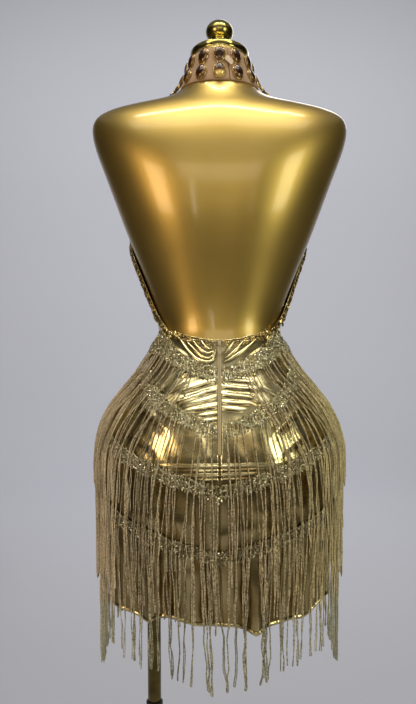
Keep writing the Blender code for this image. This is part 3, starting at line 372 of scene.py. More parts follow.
def skirt_hem(angle):
    """Height of the hem: as draped over the back, and as cut elsewhere."""
    cut = HEM + HEM_RISE * math.sin(math.radians(angle)) ** 2 - FLUTE_DROP * flute(angle, HEM)
    turn = (angle + 180) % 360 - 180
    if not HEM_DRAPE[0].turn < turn < HEM_DRAPE[-1].turn:
        return cut
    draped = DRAPED_HEM.at(turn).level
    edge = smoothstep(0, 14, min(turn - HEM_DRAPE[0].turn, HEM_DRAPE[-1].turn - turn))
    return cut + (draped - cut) * edge


def skirt_height(angle, level):
    """A level of the plain skirt, bent so that the top and bottom rows follow the edges."""
    top = (skirt_top(angle) - WAIST) * smoothstep(DIP_ENDS, WAIST, level)
    bottom = (skirt_hem(angle) - HEM) * smoothstep(0, HEM_BEND, HEM + HEM_BEND - level)
    return level + top + bottom


def zigzag(tier, angle):
    """Height of a band's middle line."""
    turn = angle_apart(angle, 0)
    for low, high in zip(ZIGZAG, ZIGZAG[1:]):
        if turn <= high.angle:
            share = (turn - low.angle) / (high.angle - low.angle)
            return tier.valley + tier.rise * (low.share + (high.share - low.share) * share)
    return tier.valley


# Materials


class Socket:
    """The output of a node, on which Python's operators add Math nodes."""

    def __init__(self, finish, socket):
        self.finish = finish
        self.socket = socket

    def math(self, operation, *values):
        return self.finish.node("Math", {"operation": operation}, dict(enumerate(values)))

    def __add__(self, other):
        return self.math("ADD", self, other)

    def __rsub__(self, other):
        return self.math("SUBTRACT", other, self)

    def __mul__(self, other):
        return self.math("MULTIPLY", self, other)

    __radd__ = __add__
    __rmul__ = __mul__

    def sine(self):
        return self.math("SINE", self)

    def between(self, low, high):
        """This value as a share from 0 at low to 1 at high, smoothed."""
        settings = {"interpolation_type": "SMOOTHSTEP"}
        return self.finish.node("MapRange", settings, {"Value": self, "From Min": low, "From Max": high})


class Finish:
    """A material with the principled shader, and the nodes that lead to it."""

    def __init__(self, name, **fixed):
        self.material = bpy.data.materials.new(name)
        self.material.use_nodes = True
        self.tree = self.material.node_tree
        self.shader = self.tree.nodes["Principled BSDF"]
        for socket, value in fixed.items():
            self.feed(self.shader.inputs[socket.replace("_", " ")], value)

    def feed(self, socket, value):
        if isinstance(value, Socket):
            self.tree.links.new(value.socket, socket)
        elif socket.type == "RGBA":
            socket.default_value = (*value, 1.0)
        else:
            socket.default_value = value

    def node(self, kind, settings, inputs, output=0):
        made = self.tree.nodes.new("ShaderNode" + kind)
        for name, value in settings.items():
            if name == "stops":
                elements = made.color_ramp.elements
                while len(elements) < len(value):
                    elements.new(0.5)
                for element, (place, colour) in zip(elements, value):
                    element.position = place
                    element.color = (*colour, 1.0)
            else:
                setattr(made, name, value)
        for name, value in inputs.items():
            self.feed(made.inputs[name], value)
        return Socket(self, made.outputs[output])

    def place(self, output="Object"):
        return self.node("TexCoord", {}, {}, output)

    def stretched(self, place, scale):
        return self.node("Mapping", {}, {"Vector": place, "Scale": scale})

    def attribute(self, name):
        return self.node("Attribute", {"attribute_name": name}, {}, "Fac")

    def noise(self, place, scale, detail=2.0, roughness=0.5):
        inputs = {"Vector": place, "Scale": scale, "Detail": detail, "Roughness": roughness}
        return self.node("TexNoise", {}, inputs)

    def cells(self, place, scale, feature="F1"):
        return self.node("TexVoronoi", {"feature": feature}, {"Vector": place, "Scale": scale}, "Distance")

    def mix(self, factor, first, second):
        return self.node("Mix", {"data_type": "RGBA"}, {0: factor, 6: first, 7: second}, 2)

    def tinted(self, colour, tint):
        settings = {"data_type": "RGBA", "blend_type": "MULTIPLY"}
        return self.node("Mix", settings, {0: 1.0, 6: colour, 7: tint}, 2)

    def part_of(self, place, axis):
        return self.node("SeparateXYZ", {}, {"Vector": place}, axis)

    def ramp(self, factor, *stops):
        return self.node("ValToRGB", {"stops": stops}, {"Fac": factor})

    def colour(self, value):
        self.feed(self.shader.inputs["Base Color"], value)

    def rough(self, value):
        self.feed(self.shader.inputs["Roughness"], value)

    def bump(self, height, strength, distance):
        inputs = {"Height": height, "Strength": strength, "Distance": distance}
        self.feed(self.shader.inputs["Normal"], self.node("Bump", {}, inputs))


def scaled(colour, share):
    return tuple(share * part for part in colour)


def lacquer_finish(name, colour):
    """Smooth gold lacquer with a faint sprayed grain and a deeper tone in patches."""
    made = Finish(name, Metallic=0.90, Coat_Weight=0.70, Coat_Roughness=0.13)
    place = made.place()
    patches = made.noise(place, 5.5, 3.0).between(0.35, 0.7)
    made.colour(made.mix(patches, colour, scaled(colour, 0.84)))
    grain = made.noise(place, 900.0, 2.0)
    made.rough(0.36 + 0.06 * made.noise(place, 14.0, 3.0))
    made.bump(grain, 0.05, 0.0003)
    return made.material


def metal_finish(name, colour, roughness, wear):
    """Turned metal, with fine rings of polish and a tone that shifts with handling."""
    made = Finish(name, Metallic=1.0)
    place = made.place()
    smudges = made.noise(place, 26.0, 4.0).between(0.42, 0.68)
    made.colour(made.mix(smudges, colour, scaled(colour, 1 - wear)))
    made.rough(roughness + 0.16 * smudges)
    rings = made.noise(made.stretched(place, (3.0, 3.0, 1600.0)), 1.0, 1.0)
    made.bump(rings, 0.06, 0.0003)
    return made.material


def lame_finish(name, colour, shade):
    """Foil lame: a metal-coated knit with fine crinkles and random worn patches, with painted shade in its
    creases, its folds and under the fringe.
    """
    made = Finish(name, Metallic=0.94, Coat_Weight=0.35, Coat_Roughness=0.10)
    place = made.place("UV")
    crinkle = made.noise(made.stretched(place, (45.0, 130.0, 1.0)), 1.0, 3.0, 0.5)
    hollow = made.attribute("hollow")
    patches = made.noise(place, 17.0, 3.0).between(0.46, 0.66)
    worn = made.mix(patches, colour, (0.74 * colour[0], 0.68 * colour[1], 0.56 * colour[2]))
    # painted shade: the colour goes towards the shade colour by the point attribute of painted shade
    made.colour(made.mix(hollow, worn, shade))
    made.rough(0.15 + 0.12 * crinkle)
    knit = made.stretched(place, (1400.0, 1400.0, 1.0))
    made.bump(crinkle + 0.06 * made.cells(knit, 1.0), 0.16, 0.0009)
    return made.material


def fringe_finish(name, pale, dark):
    """Metal thread chain: links along each strand and a tone that differs from strand to strand, with painted
    glints and painted light that makes the strands paler on the hips; it is tinted warmer towards the wearer's
    right and greyer below the hem.
    """
    made = Finish(name, Metallic=0.15)
    tone = made.attribute("tone")
    place = made.place()
    warm = made.part_of(place, 0).between(0.02, 0.17)
    cool = made.part_of(place, 2).between(0.665, 0.615)
    tint = made.mix(cool, made.mix(warm, (0.98, 0.86, 0.66), (1.0, 0.88, 0.54)), (0.72, 0.73, 0.58))
    across = made.part_of(place, 0)
    # painted light: the strands are painted paler on the hips
    side = (across * across).between(0.010, 0.028)
    along = made.attribute("along")
    links = 0.5 + 0.5 * (along * (math.tau / 0.0024)).sine()
    # painted glints: bright specks of noise in the colour
    glints = made.noise(place, 400.0, 2.0, 0.6).between(0.36, 0.64)
    thread = made.ramp(tone, (0.0, scaled(pale, 0.48)), (0.5, scaled(pale, 0.88)), (1.0, pale))
    made.colour(made.tinted(made.mix(0.15 * links + 0.90 * glints + 0.35 * side + 0.05, dark, thread), tint))
    made.rough(0.44 - 0.16 * glints)
    made.bump(links + glints, 0.45, 0.0005)
    return made.material


def sequin_finish(name):
    """Foil sequins and bugle beads: silver, grey green and pale gold, each with its own tone."""
    made = Finish(name, Metallic=0.80, Coat_Weight=0.4, Coat_Roughness=0.08)
    tone = made.attribute("tone")
    made.colour(made.ramp(
        tone,
        (0.00, (0.15, 0.11, 0.050)),
        (0.22, (0.38, 0.32, 0.15)),
        (0.45, (0.66, 0.60, 0.34)),
        (0.70, (0.80, 0.78, 0.52)),
        (1.00, (0.97, 0.93, 0.76)),
    ))
    made.rough(0.40 - 0.20 * tone)
    made.bump(made.noise(made.place(), 700.0, 1.0), 0.15, 0.0003)
    return made.material


def bead_finish(name, bright, deep):
    """Gold beads and cast leaves with a dark tarnish in some."""
    made = Finish(name, Metallic=1.0)
    tone = made.attribute("tone")
    made.colour(made.mix(tone, deep, bright))
    made.rough(0.34 - 0.18 * tone)
    made.bump(made.noise(made.place(), 520.0, 2.0), 0.12, 0.0004)
    return made.material


def mesh_finish(name, colour):
    """Skin-toned power mesh with its small open cells."""
    made = Finish(name, Sheen_Weight=0.25, Sheen_Roughness=0.5)
    place = made.place("UV")
    cells = made.cells(place, 900.0, "DISTANCE_TO_EDGE").between(0.02, 0.14)
    tired = made.noise(place, 60.0, 3.0).between(0.35, 0.75)
    made.colour(made.mix(cells * 0.45 + tired * 0.25, colour, scaled(colour, 0.55)))
    made.rough(0.72 + 0.12 * cells)
    made.bump(1 - cells, 0.4, 0.0004)
    return made.material


def stone_finish(name):
    """Amber glass over foil: honey at the rim, dark in the heart, with inner clouds, and bright gold where the
    tone falls to nothing, which paints a highlight on one drop.
    """
    made = Finish(name, Metallic=0.35, Coat_Weight=0.7, Coat_Roughness=0.05)
    depth = made.attribute("tone")
    clouds = made.noise(made.place(), 170.0, 3.0).between(0.3, 0.7)
    honey = made.mix(clouds, (0.34, 0.17, 0.030), (0.20, 0.085, 0.012))
    glass = made.mix(depth.between(0.30, 0.95), honey, (0.045, 0.018, 0.005))
    made.colour(made.mix(depth.between(0.0, 0.22), (0.92, 0.66, 0.20), glass))
    made.rough(0.10 + 0.10 * clouds)
    return made.material


def enamel_finish(name, colour):
    """Stove enamel on a small casting, worn paler along its rubbed places."""
    made = Finish(name, Metallic=0.25)
    rubbed = made.noise(made.place(), 260.0, 3.0).between(0.45, 0.70)
    made.colour(made.mix(rubbed, colour, scaled(colour, 0.62)))
    made.rough(0.34 + 0.14 * rubbed)
    made.bump(rubbed, 0.08, 0.0003)
    return made.material


def rubber_finish(name):
    """Moulded black plastic with a fine grain."""
    made = Finish(name)
    grain = made.noise(made.place(), 850.0, 3.0)
    made.colour(made.mix(grain, (0.012, 0.012, 0.012), (0.035, 0.034, 0.033)))
    made.rough(0.42 + 0.18 * grain)
    made.bump(grain, 0.2, 0.0004)
    return made.material


def floor_finish(name, pale, unlit):
    """Studio sweep in pale paint behind the dress, painted dusky round the rest of the room as painted shade
    of the unlit room.
    """
    made = Finish(name, Specular_IOR_Level=0.3)
    cloudy = made.noise(made.place(), 0.6, 3.0)
    paint = made.mix(cloudy, pale, scaled(pale, 0.95))
    made.colour(made.mix(made.attribute("dusk"), paint, unlit))
    made.rough(0.62 + 0.1 * cloudy)
    return made.material


# Meshes


def new_piece(name, points, faces, finish, attributes=None, smooth=True):
    """A mesh object in place from points and faces, with a float attribute per point where given."""
    mesh = bpy.data.meshes.new(name)
    mesh.from_pydata([tuple(p) for p in points], [], faces)
    for attribute, values in (attributes or {}).items():
        layer = mesh.attributes.new(attribute, "FLOAT", "POINT")
        layer.data.foreach_set("value", values)
    mesh.materials.append(finish)
    if smooth:
        mesh.shade_smooth()
    made = bpy.data.objects.new(name, mesh)
    bpy.context.scene.collection.objects.link(made)
    return made


def rides(made, slot, *nodes):
    """The piece moves with the dress and stands for nodes of the part, which are hidden; the finish slot is
    not used.
    """
    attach(made, BODY)
    if nodes:
        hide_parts(*nodes)
    return made


def only(made):
    """Makes the object the only one selected, and the active one."""
    bpy.ops.object.select_all(action="DESELECT")
    made.select_set(True)
    bpy.context.view_layer.objects.active = made
    return made


def apply_modifier(made, kind, **settings):
    only(made)
    modifier = made.modifiers.new(kind.lower(), kind)
    for name, value in settings.items():
        setattr(modifier, name, value)
    bpy.ops.object.modifier_apply(modifier=modifier.name)


def smooth_by_angle(made, degrees=35):
    only(made)
    bpy.ops.object.shade_smooth_by_angle(angle=math.radians(degrees))


def cloth(name, rows, finish, thickness=CLOTH_WALL, painted_shades=None):
    """A thin sheet through rows of points, thickened inwards, with a UV map in metres along the cloth."""
    count = len(rows[0])
    faces = []
    for i in range(len(rows) - 1):
        for j in range(count - 1):
            a = i * count + j
            faces.append((a, a + 1, a + count + 1, a + count))
    points = [point for row in rows for point in row]
    # painted shade of each point, none where no values are given
    hollow = [depth for row in painted_shades for depth in row] if painted_shades else [0.0] * len(points)
    made = new_piece(name, points, faces, finish, {"hollow": hollow})
    across, up = [], []
    middle = count // 2
    height = 0.0
    for i, row in enumerate(rows):
        if i:
            height += (row[middle] - rows[i - 1][middle]).length
        travelled = [0.0]
        for before, after in zip(row, row[1:]):
            travelled.append(travelled[-1] + (after - before).length)
        across += [value - travelled[middle] for value in travelled]
        up += [height] * count
    layer = made.data.uv_layers.new(name="cloth")
    for loop in made.data.loops:
        layer.data[loop.index].uv = (across[loop.vertex_index], up[loop.vertex_index])
    apply_modifier(made, "SOLIDIFY", thickness=thickness, offset=-1.0)
    return made


def join(points, faces, more_points, more_faces):
    """Adds the points and faces of a shape to those of a piece."""
    first = len(points)
    points += more_points
    faces += [tuple(first + index for index in face) for face in more_faces]


class Cluster:
    """Many copies of small shapes, gathered into one piece."""

    def __init__(self):
        self.points, self.faces, self.tones = [], [], []

    def add(self, shape, matrix, tone):
        points, faces = shape
        join(self.points, self.faces, [matrix @ point for point in points], faces)
        self.tones += [tone] * len(points)

    def finish(self, name, finish, smooth=False):
        return new_piece(name, self.points, self.faces, finish, {"tone": self.tones}, smooth)


def taken(made):
    """The points and faces of an object that was modelled as a pattern, which is then removed."""
    shape = ([v.co.copy() for v in made.data.vertices], [tuple(p.vertices) for p in made.data.polygons])
    bpy.data.objects.remove(made)
    return shape


def bead_shape(radius, segments=6, rings=4):
    bpy.ops.mesh.primitive_uv_sphere_add(segments=segments, ring_count=rings, radius=radius)
    return taken(bpy.context.object)


def sequin_shape(sides=6, dome=0.34, back=0.10):
    """A cupped disc of radius 1 that bulges forward to a point and closes behind."""
    bpy.ops.mesh.primitive_circle_add(vertices=sides, radius=1.0, fill_type="TRIFAN")
    made = bpy.context.object
    bpy.ops.object.mode_set(mode="EDIT")
    bpy.ops.mesh.select_all(action="SELECT")
    bpy.ops.mesh.extrude_region_move(TRANSFORM_OT_translate={"value": (0, 0, dome)})
    bpy.ops.transform.resize(value=(0.55, 0.55, 1.0))
    bpy.ops.object.mode_set(mode="OBJECT")
    for vertex in made.data.vertices:
        if vertex.co.z < 0.5 * dome and vertex.co.to_2d().length < 0.1:
            vertex.co.z -= back
    return taken(made)


def tube_points(path, radii, sides, facing):
    """Rings of points along a path, and the faces that join them, with closed ends."""
    count = len(path)
    points, faces = [], []
    for i, point in enumerate(path):
        ahead = (path[min(i + 1, count - 1)] - path[max(i - 1, 0)]).normalized()
        aside = ahead.cross(facing[i]).normalized()
        rise = aside.cross(ahead)
        for side in range(sides):
            turn = math.tau * side / sides
            points.append(point + radii[i] * (math.cos(turn) * aside + math.sin(turn) * rise))
    for i in range(count - 1):
        for side in range(sides):
            following = (side + 1) % sides
            low, high = i * sides, (i + 1) * sides
            faces.append((low + side, low + following, high + following, high + side))
    faces.append(tuple(reversed(range(sides))))
    faces.append(tuple(range((count - 1) * sides, count * sides)))
    return points, faces


def turned(name, profile, finish, place=None, steps=72, bevel=0.0006, rounds=2):
    """A solid shaped on the lathe: a disc that is extruded and resized ring by ring."""
    radius, height = profile[0]
    bpy.ops.object.select_all(action="DESELECT")
    bpy.ops.mesh.primitive_circle_add(
        vertices=steps, radius=radius, fill_type="NGON", location=(0, 0, height)
    )
    made = bpy.context.object
    made.name = made.data.name = name
    bpy.ops.object.transform_apply(location=True, rotation=True, scale=True)
    bpy.ops.object.mode_set(mode="EDIT")
    bpy.ops.mesh.select_all(action="SELECT")
    for next_radius, next_height in profile[1:]:
        bpy.ops.mesh.extrude_region_move(TRANSFORM_OT_translate={"value": (0, 0, next_height - height)})
        share = next_radius / radius
        bpy.ops.transform.resize(value=(share, share, 1.0))
        radius, height = next_radius, next_height
    bpy.ops.mesh.select_all(action="SELECT")
    bpy.ops.mesh.normals_make_consistent(inside=False)
    bpy.ops.object.mode_set(mode="OBJECT")
    made.data.materials.append(finish)
    if bevel:
        apply_modifier(
            made, "BEVEL", width=bevel, segments=rounds, limit_method="ANGLE", angle_limit=math.radians(40)
        )
    smooth_by_angle(made)
    if place:
        made.data.transform(place)
    return made


# Properties


def colour_property(name, description, default):
    return bpy.props.FloatVectorProperty(
        name=name, description=description, default=default, subtype="COLOR", size=3, min=0.0, max=1.0
    )


def length_property(name, description, default):
    return bpy.props.FloatProperty(
        name=name, description=description, default=default, unit="LENGTH", precision=5
    )


class FormLooks(bpy.types.PropertyGroup):
    lacquer: colour_property("Lacquer", "Colour of the dress form", (0.60, 0.41, 0.10))
    brass: colour_property("Brass", "Colour of the neck cap, the finial and the stand", (0.56, 0.45, 0.13))
    pole: colour_property("Pole", "Colour of the aged pole", (0.13, 0.095, 0.030))


class ClothLooks(bpy.types.PropertyGroup):
    lame: colour_property("Lame", "Colour of the foil cloth", (0.74, 0.64, 0.33))
    # The colour of the painted shade that the lamé takes in its creases, its folds and under the fringe
    hollow: colour_property("Hollows", "Colour of the cloth deep in its folds", (0.165, 0.098, 0.014))
    nude: colour_property("Mesh", "Colour of the collar", (0.60, 0.38, 0.20))
    tape: colour_property("Zip tape", "Colour of the zip's tape and coil", (0.62, 0.50, 0.28))
    hem: length_property("Turned hem", "Depth of the turned edge at the hem", 0.0060)


class TrimLooks(bpy.types.PropertyGroup):
    gold: colour_property("Beads", "Colour of the bright beads and settings", (0.90, 0.70, 0.28))
    tarnish: colour_property("Tarnish", "Colour of the dark beads", (0.12, 0.085, 0.035))
    sequin: length_property("Sequin", "Radius of a sequin", 0.0014)
    bead: length_property("Bead", "Radius of a bead of the binding", 0.0013)


class FringeLooks(bpy.types.PropertyGroup):
    # The bright colour shows at the painted glints, and more of it on the hips by painted light; the dull
    # colour shows between them
    pale: colour_property("Bright thread", "Colour of the fringe where it shines", (1.00, 0.95, 0.79))
    dark: colour_property("Dull thread", "Colour of the fringe in its twists", (0.13, 0.10, 0.055))
    radius: length_property("Thread", "Radius of one leg of a strand", 0.00078)
    pair: length_property("Twist", "Distance of a leg from the middle of its strand", 0.00105)


class StageLooks(bpy.types.PropertyGroup):
    floor: colour_property("Floor", "Colour of the floor and of the wall behind it", (0.62, 0.62, 0.66))
    studio: colour_property("Studio", "Colour of the unlit room round the stage", (0.060, 0.052, 0.045))
    lens: bpy.props.FloatProperty(name="Lens", description="Focal length", default=35.795, unit="CAMERA")


GROUPS = {
    "dress_form_looks": FormLooks,
    "dress_cloth_looks": ClothLooks,
    "dress_trim_looks": TrimLooks,
    "dress_fringe_looks": FringeLooks,
    "dress_stage_looks": StageLooks,
}


def finish_of(name, maker, *values):
    """The material of that name, made the first time that it is asked for."""
    return bpy.data.materials.get(name) or maker(name, *values)


def lame():
    looks = bpy.context.scene.dress_cloth_looks
    return finish_of("foil_lame", lame_finish, tuple(looks.lame), tuple(looks.hollow))


def nude_mesh():
    return finish_of("power_mesh", mesh_finish, tuple(bpy.context.scene.dress_cloth_looks.nude))


def gold_beads():
    looks = bpy.context.scene.dress_trim_looks
    return finish_of("gold_beads", bead_finish, tuple(looks.gold), tuple(looks.tarnish))


def sequins():
    return finish_of("foil_sequins", sequin_finish)


def brass():
    looks = bpy.context.scene.dress_form_looks
    return finish_of("polished_brass", metal_finish, tuple(looks.brass), 0.09, 0.25)


def aged_brass():
    looks = bpy.context.scene.dress_form_looks
    return finish_of("aged_brass", metal_finish, tuple(looks.pole), 0.16, 0.45)


# Pieces


class DRESS_OT_form(bpy.types.Operator):
    """Smooths a copy of the dress form and lacquers it"""

    bl_idname = "dress.form"
    bl_label = "Dress form"

    def execute(self, context):
        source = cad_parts["form_torso"]
        made = bpy.data.objects.new("smooth_form", source.data.copy())
        context.scene.collection.objects.link(made)
        only(made)
        bpy.ops.object.mode_set(mode="EDIT")
        bpy.ops.mesh.select_all(action="SELECT")
        bpy.ops.mesh.remove_doubles(threshold=0.00001)
        bpy.ops.mesh.tris_convert_to_quads(face_threshold=math.radians(60), shape_threshold=math.radians(60))
        bpy.ops.mesh.dissolve_limited(angle_limit=math.radians(0.05), delimit={"NORMAL"})
        bpy.ops.object.mode_set(mode="OBJECT")
        crease = made.data.attributes.new("crease_edge", "FLOAT", "EDGE")
        work = bmesh.new()
        work.from_mesh(made.data)
        sharp = [edge.calc_face_angle(0.0) > math.radians(50) for edge in work.edges]
        work.free()
        crease.data.foreach_set("value", [1.0 if s else 0.0 for s in sharp])
        apply_modifier(made, "SUBSURF", levels=2, render_levels=2)
        made.data.materials.clear()
        made.data.materials.append(
            finish_of("gold_lacquer", lacquer_finish, tuple(context.scene.dress_form_looks.lacquer))
        )
        smooth_by_angle(made, 45)
        rides(made, "form_gold", "form_torso")
        return {"FINISHED"}


def cap_place():
    back, front = form_point(0, NECK_TOP), form_point(180, NECK_TOP)
    slant = math.atan2(back.z - front.z, front.y - back.y)
    return Matrix.Translation((back + front) / 2) @ Matrix.Rotation(-slant, 4, "X")


class DRESS_OT_finial(bpy.types.Operator):
    """Turns the neck cap and the finial"""

    bl_idname = "dress.finial"
    bl_label = "Cap and finial"

    def execute(self, context):
        cap = [(0.0455, 0.0003), (0.0455, 0.0118), (0.0300, 0.0119)]
        rides(turned("turned_cap", cap, brass(), cap_place(), 96, 0.0028, 5), "brass", "neck_cap")
        foot = 0.0122
        profile = [(0.0250, 0.0), (0.0262, 0.0008), (0.0262, 0.0026), (0.0244, 0.0040), (0.0190, 0.0058),
                   (0.0150, 0.0085), (0.0126, 0.0118), (0.0119, 0.0150), (0.0120, 0.0190)]
        wide, high, middle = 0.0214, 0.0172, 0.0354
        for turn in range(38, 178, 7):
            angle = math.radians(turn)
            profile.append((wide * math.sin(angle), middle - high * math.cos(angle)))
        profile = [(radius, foot + height) for radius, height in profile]
        rides(turned("turned_finial", profile, brass(), cap_place(), 64, 0.0), "brass", "neck_finial")
        return {"FINISHED"}


class DRESS_OT_stand(bpy.types.Operator):
    """Turns the base, the poles and their fittings"""

    bl_idname = "dress.stand"
    bl_label = "Stand"

    def execute(self, context):
        base = [(0.1745, 0.0), (0.1750, 0.0010), (0.1750, 0.0062), (0.1735, 0.0080), (0.0600, 0.0080)]
        rides(turned("round_base", base, brass(), None, 128, 0.0004), "brass", "stand_base")
        at_pole = Matrix.Translation((-0.107, 0, 0))
        lower = [(0.0300, 0.0083), (0.0300, 0.0138), (0.0285, 0.0150), (0.0215, 0.0190), (0.0160, 0.0225),
                 (0.0131, 0.0275), (0.0127, 0.0330), (0.0127, 0.4400)]
        rides(turned("lower_pole", lower, aged_brass(), at_pole, 64, 0.0004), "brass", "stand_lower_pole")
        bush = [(0.0135, 0.4403), (0.0135, 0.4456), (0.0124, 0.4470), (0.0115, 0.4470)]
        rubber = finish_of("black_bush", rubber_finish)
        rides(turned("pole_bush", bush, rubber, at_pole, 64, 0.0003), "bush_black", "stand_bush")
        upper = [(0.0109, 0.4473), (0.0109, 0.6936)]
        rides(turned("upper_pole", upper, aged_brass(), at_pole, 64, 0.0003), "brass", "stand_upper_pole")
        flange = [(0.0240, 0.6939), (0.0270, 0.6960), (0.0270, 0.6997)]
        rides(turned("pole_flange", flange, aged_brass(), at_pole, 64, 0.0005), "brass", "stand_flange")
        return {"FINISHED"}


def fold_line(fold):
    """Points along a curled fold, smoothed, each with the fold's half width there."""
    line = []
    for low, high in zip(fold, fold[1:]):
        line += [[a + (b - a) * step / 6 for a, b in zip(low, high)] for step in range(6)]
    line.append(list(fold[-1]))
    for _ in range(4):
        middle = [[(a + 2 * b + c) / 4 for a, b, c in zip(*three)] for three in zip(line, line[1:], line[2:])]
        line = [line[0], *middle, line[-1]]
    return line


def fold_shade(lines, x, height):
    """How deep a place of the panel lies in the shade beside the curled folds."""
    nearest = min(math.hypot(x - at, height - up) for line in lines for at, up, _ in line)
    return 1 - smoothstep(0.0020, 0.0062, nearest)


def skirt_rows(start, end, columns, creases, fine):
    """Rows of points of one skirt panel, with its creases, its turned hem and the painted shade of each place.
    """
    hem = bpy.context.scene.dress_cloth_looks.hem
    hem_step, plain_step, cowl_step = 0.0012, 0.0030, 0.0016
    levels = []
    level = HEM
    while level < WAIST:
        levels.append(level)
        if level < HEM + hem:
            level += hem_step
        elif 0.825 < level < 0.995:
            level += fine
        else:
            level += cowl_step if level > 0.99 else plain_step
    levels.append(WAIST)
    folds = [fold_line(fold) for fold in COWL_FOLDS]
    rows, painted_shades = [], []
    for level in levels:
        row, depths = [], []
        for j in range(columns + 1):
            angle = start + (end - start) * j / columns
            height = skirt_height(angle, level)
            x, y = ring_point(SKIRT.at(height), angle)
            relief = creased(creases, x, height)
            if height < 0.780:
                relief += smoothstep(0.780, 0.660, height) * folded(UPRIGHT_FOLDS, angle)
            ripple = 0.0005 * math.sin(angle * 0.41 + 60 * height) * math.sin(52 * height + 0.13 * angle)
            relief += ripple * smoothstep(0.99, 0.93, height) if height < 0.99 else 0.0
            above_hem = level - HEM
            turned_edge = 1 - ((2 * above_hem - hem) / hem) ** 2 if above_hem < hem else 0.0
            relief += 0.0014 * turned_edge
            out = 1 + (flute(angle, height) + relief) / math.hypot(x, y)
            row.append(Vector((x * out, y * out, height)))
            # painted shade where the cloth sinks in its creases and folds
            deep = min(1.0, max(0.0, -relief / 0.0011))
            # painted shadow beside the curled folds under the neckline
            if height > 1.0 and abs(x) < 0.056 and row[-1].y < 0:
                deep = max(deep, 0.6 * fold_shade(folds, x, height))
            # painted shade: the lower skirt under the fringe is painted darker in upright stripes, except
            # along the turned hem
            stripe = 0.5 + 0.3 * math.sin(math.radians(angle) * 23 + 6 * height)
            stripe += 0.2 * math.sin(math.radians(angle) * 41)
            shade = (0.42 + 0.45 * stripe) * smoothstep(0.875, 0.835, height) * (1 - turned_edge)
            depths.append(max(deep, shade + (1 - shade) * 0.6 * deep))
        rows.append(row)
        painted_shades.append(depths)
    return rows, painted_shades


class DRESS_OT_skirt(bpy.types.Operator):
    """Lays the three creased panels of the skirt"""

    bl_idname = "dress.skirt"
    bl_label = "Skirt"

    def execute(self, context):
        turn = 0.1
        slit = 0.02
        panels = (
            ("skirt_panel_right", slit, 90 - turn, 84, BACK_CREASES, 0.0013, "skirt_back_right"),
            ("skirt_panel_front", 90 + turn, 270 - turn, 96, FRONT_CREASES, 0.0018, "skirt_front"),
            ("skirt_panel_left", 270 + turn, 360 - slit, 84, BACK_CREASES, 0.0013, "skirt_back_left"),
        )
        for name, start, end, columns, creases, fine, node in panels:
            rows, painted_shades = skirt_rows(start, end, columns, creases, fine)
            rides(cloth(name, rows, lame(), painted_shades=painted_shades), "lame_gold", node)
        return {"FINISHED"}


class DRESS_OT_cowl(bpy.types.Operator):
    """Lays the curled folds of cloth under the back neckline"""

    bl_idname = "dress.cowl"
    bl_label = "Cowl folds"

    def execute(self, context):
        for name, sign in (("right", 1), ("left", -1)):
            points, faces, painted_shades = [], [], []
            for fold in COWL_FOLDS:
                if fold[0][0] * sign < 0:
                    continue
                path, radii, facing = [], [], []
                for x, height, radius in fold_line(fold):
                    angle = angle_across(SKIRT.at(height), x)
                    path.append(moved_out(skirt_point, angle, height, 0.45 * radius + 0.0004))
                    facing.append(outward(skirt_point, angle, height))
                    radii.append(radius)
                sides = 12
                rings, ring_faces = tube_points(path, radii, sides, facing)
                for index, point in enumerate(rings):
                    at = index // sides
                    rise = (point - path[at]).dot(facing[at])
                    rings[index] = point - (0.1 if rise > 0 else 0.6) * rise * facing[at]
                    # painted shade on the side of the fold that turns in towards the skirt
                    painted_shades.append(1 - smoothstep(-0.35, 0.55, rise / radii[at]))
                join(points, faces, rings, ring_faces)
            made = new_piece(f"cowl_folds_{name}", points, faces, lame(), {"hollow": painted_shades})
            rides(made, "lame_gold")
        return {"FINISHED"}


def bodice_edges(height):
    edge = ARMHOLE.at(height)
    return edge.right, 360 - edge.left


class DRESS_OT_bodice(bpy.types.Operator):
    """Lays the halter front with its gathers"""

    bl_idname = "dress.bodice"
    bl_label = "Bodice"

    def execute(self, context):
        rows, painted_shades = [], []
        bottom, top, steps, columns = 1.0583, 1.4280, 112, 96
        for i in range(steps + 1):
            height = bottom + (top - bottom) * i / steps
            start, end = bodice_edges(height)
            row, depths = [], []
            for j in range(columns + 1):
                angle = start + (end - start) * j / columns
                base = form_point(angle, height)
                relief = creased(BODICE_CREASES, base.x, height) * smoothstep(0, 0.02, base.y)
                for pleat in PLEATS:
                    share = smoothstep(1.425, pleat.end, height)
                    middle = pleat.top + (pleat.bottom - pleat.top) * share
                    width = pleat.width * (1 + 1.2 * share)
                    fade = smoothstep(pleat.end, pleat.end + 0.08, height)
                    relief += pleat.depth * fade * hump(angle - middle, width)
                rim = min(angle - start, end - angle) * 0.0018
                relief *= smoothstep(0, 0.012, rim)
                row.append(base + (BODICE_OUT + relief) * outward(form_point, angle, height))
                # painted shade in the troughs of the creases and pleats
                depths.append(min(1.0, max(0.0, -relief / 0.0016)))
            rows.append(row)
            painted_shades.append(depths)
        rides(cloth("halter_front", rows, lame(), painted_shades=painted_shades), "lame_gold", "bodice_front")
        return {"FINISHED"}


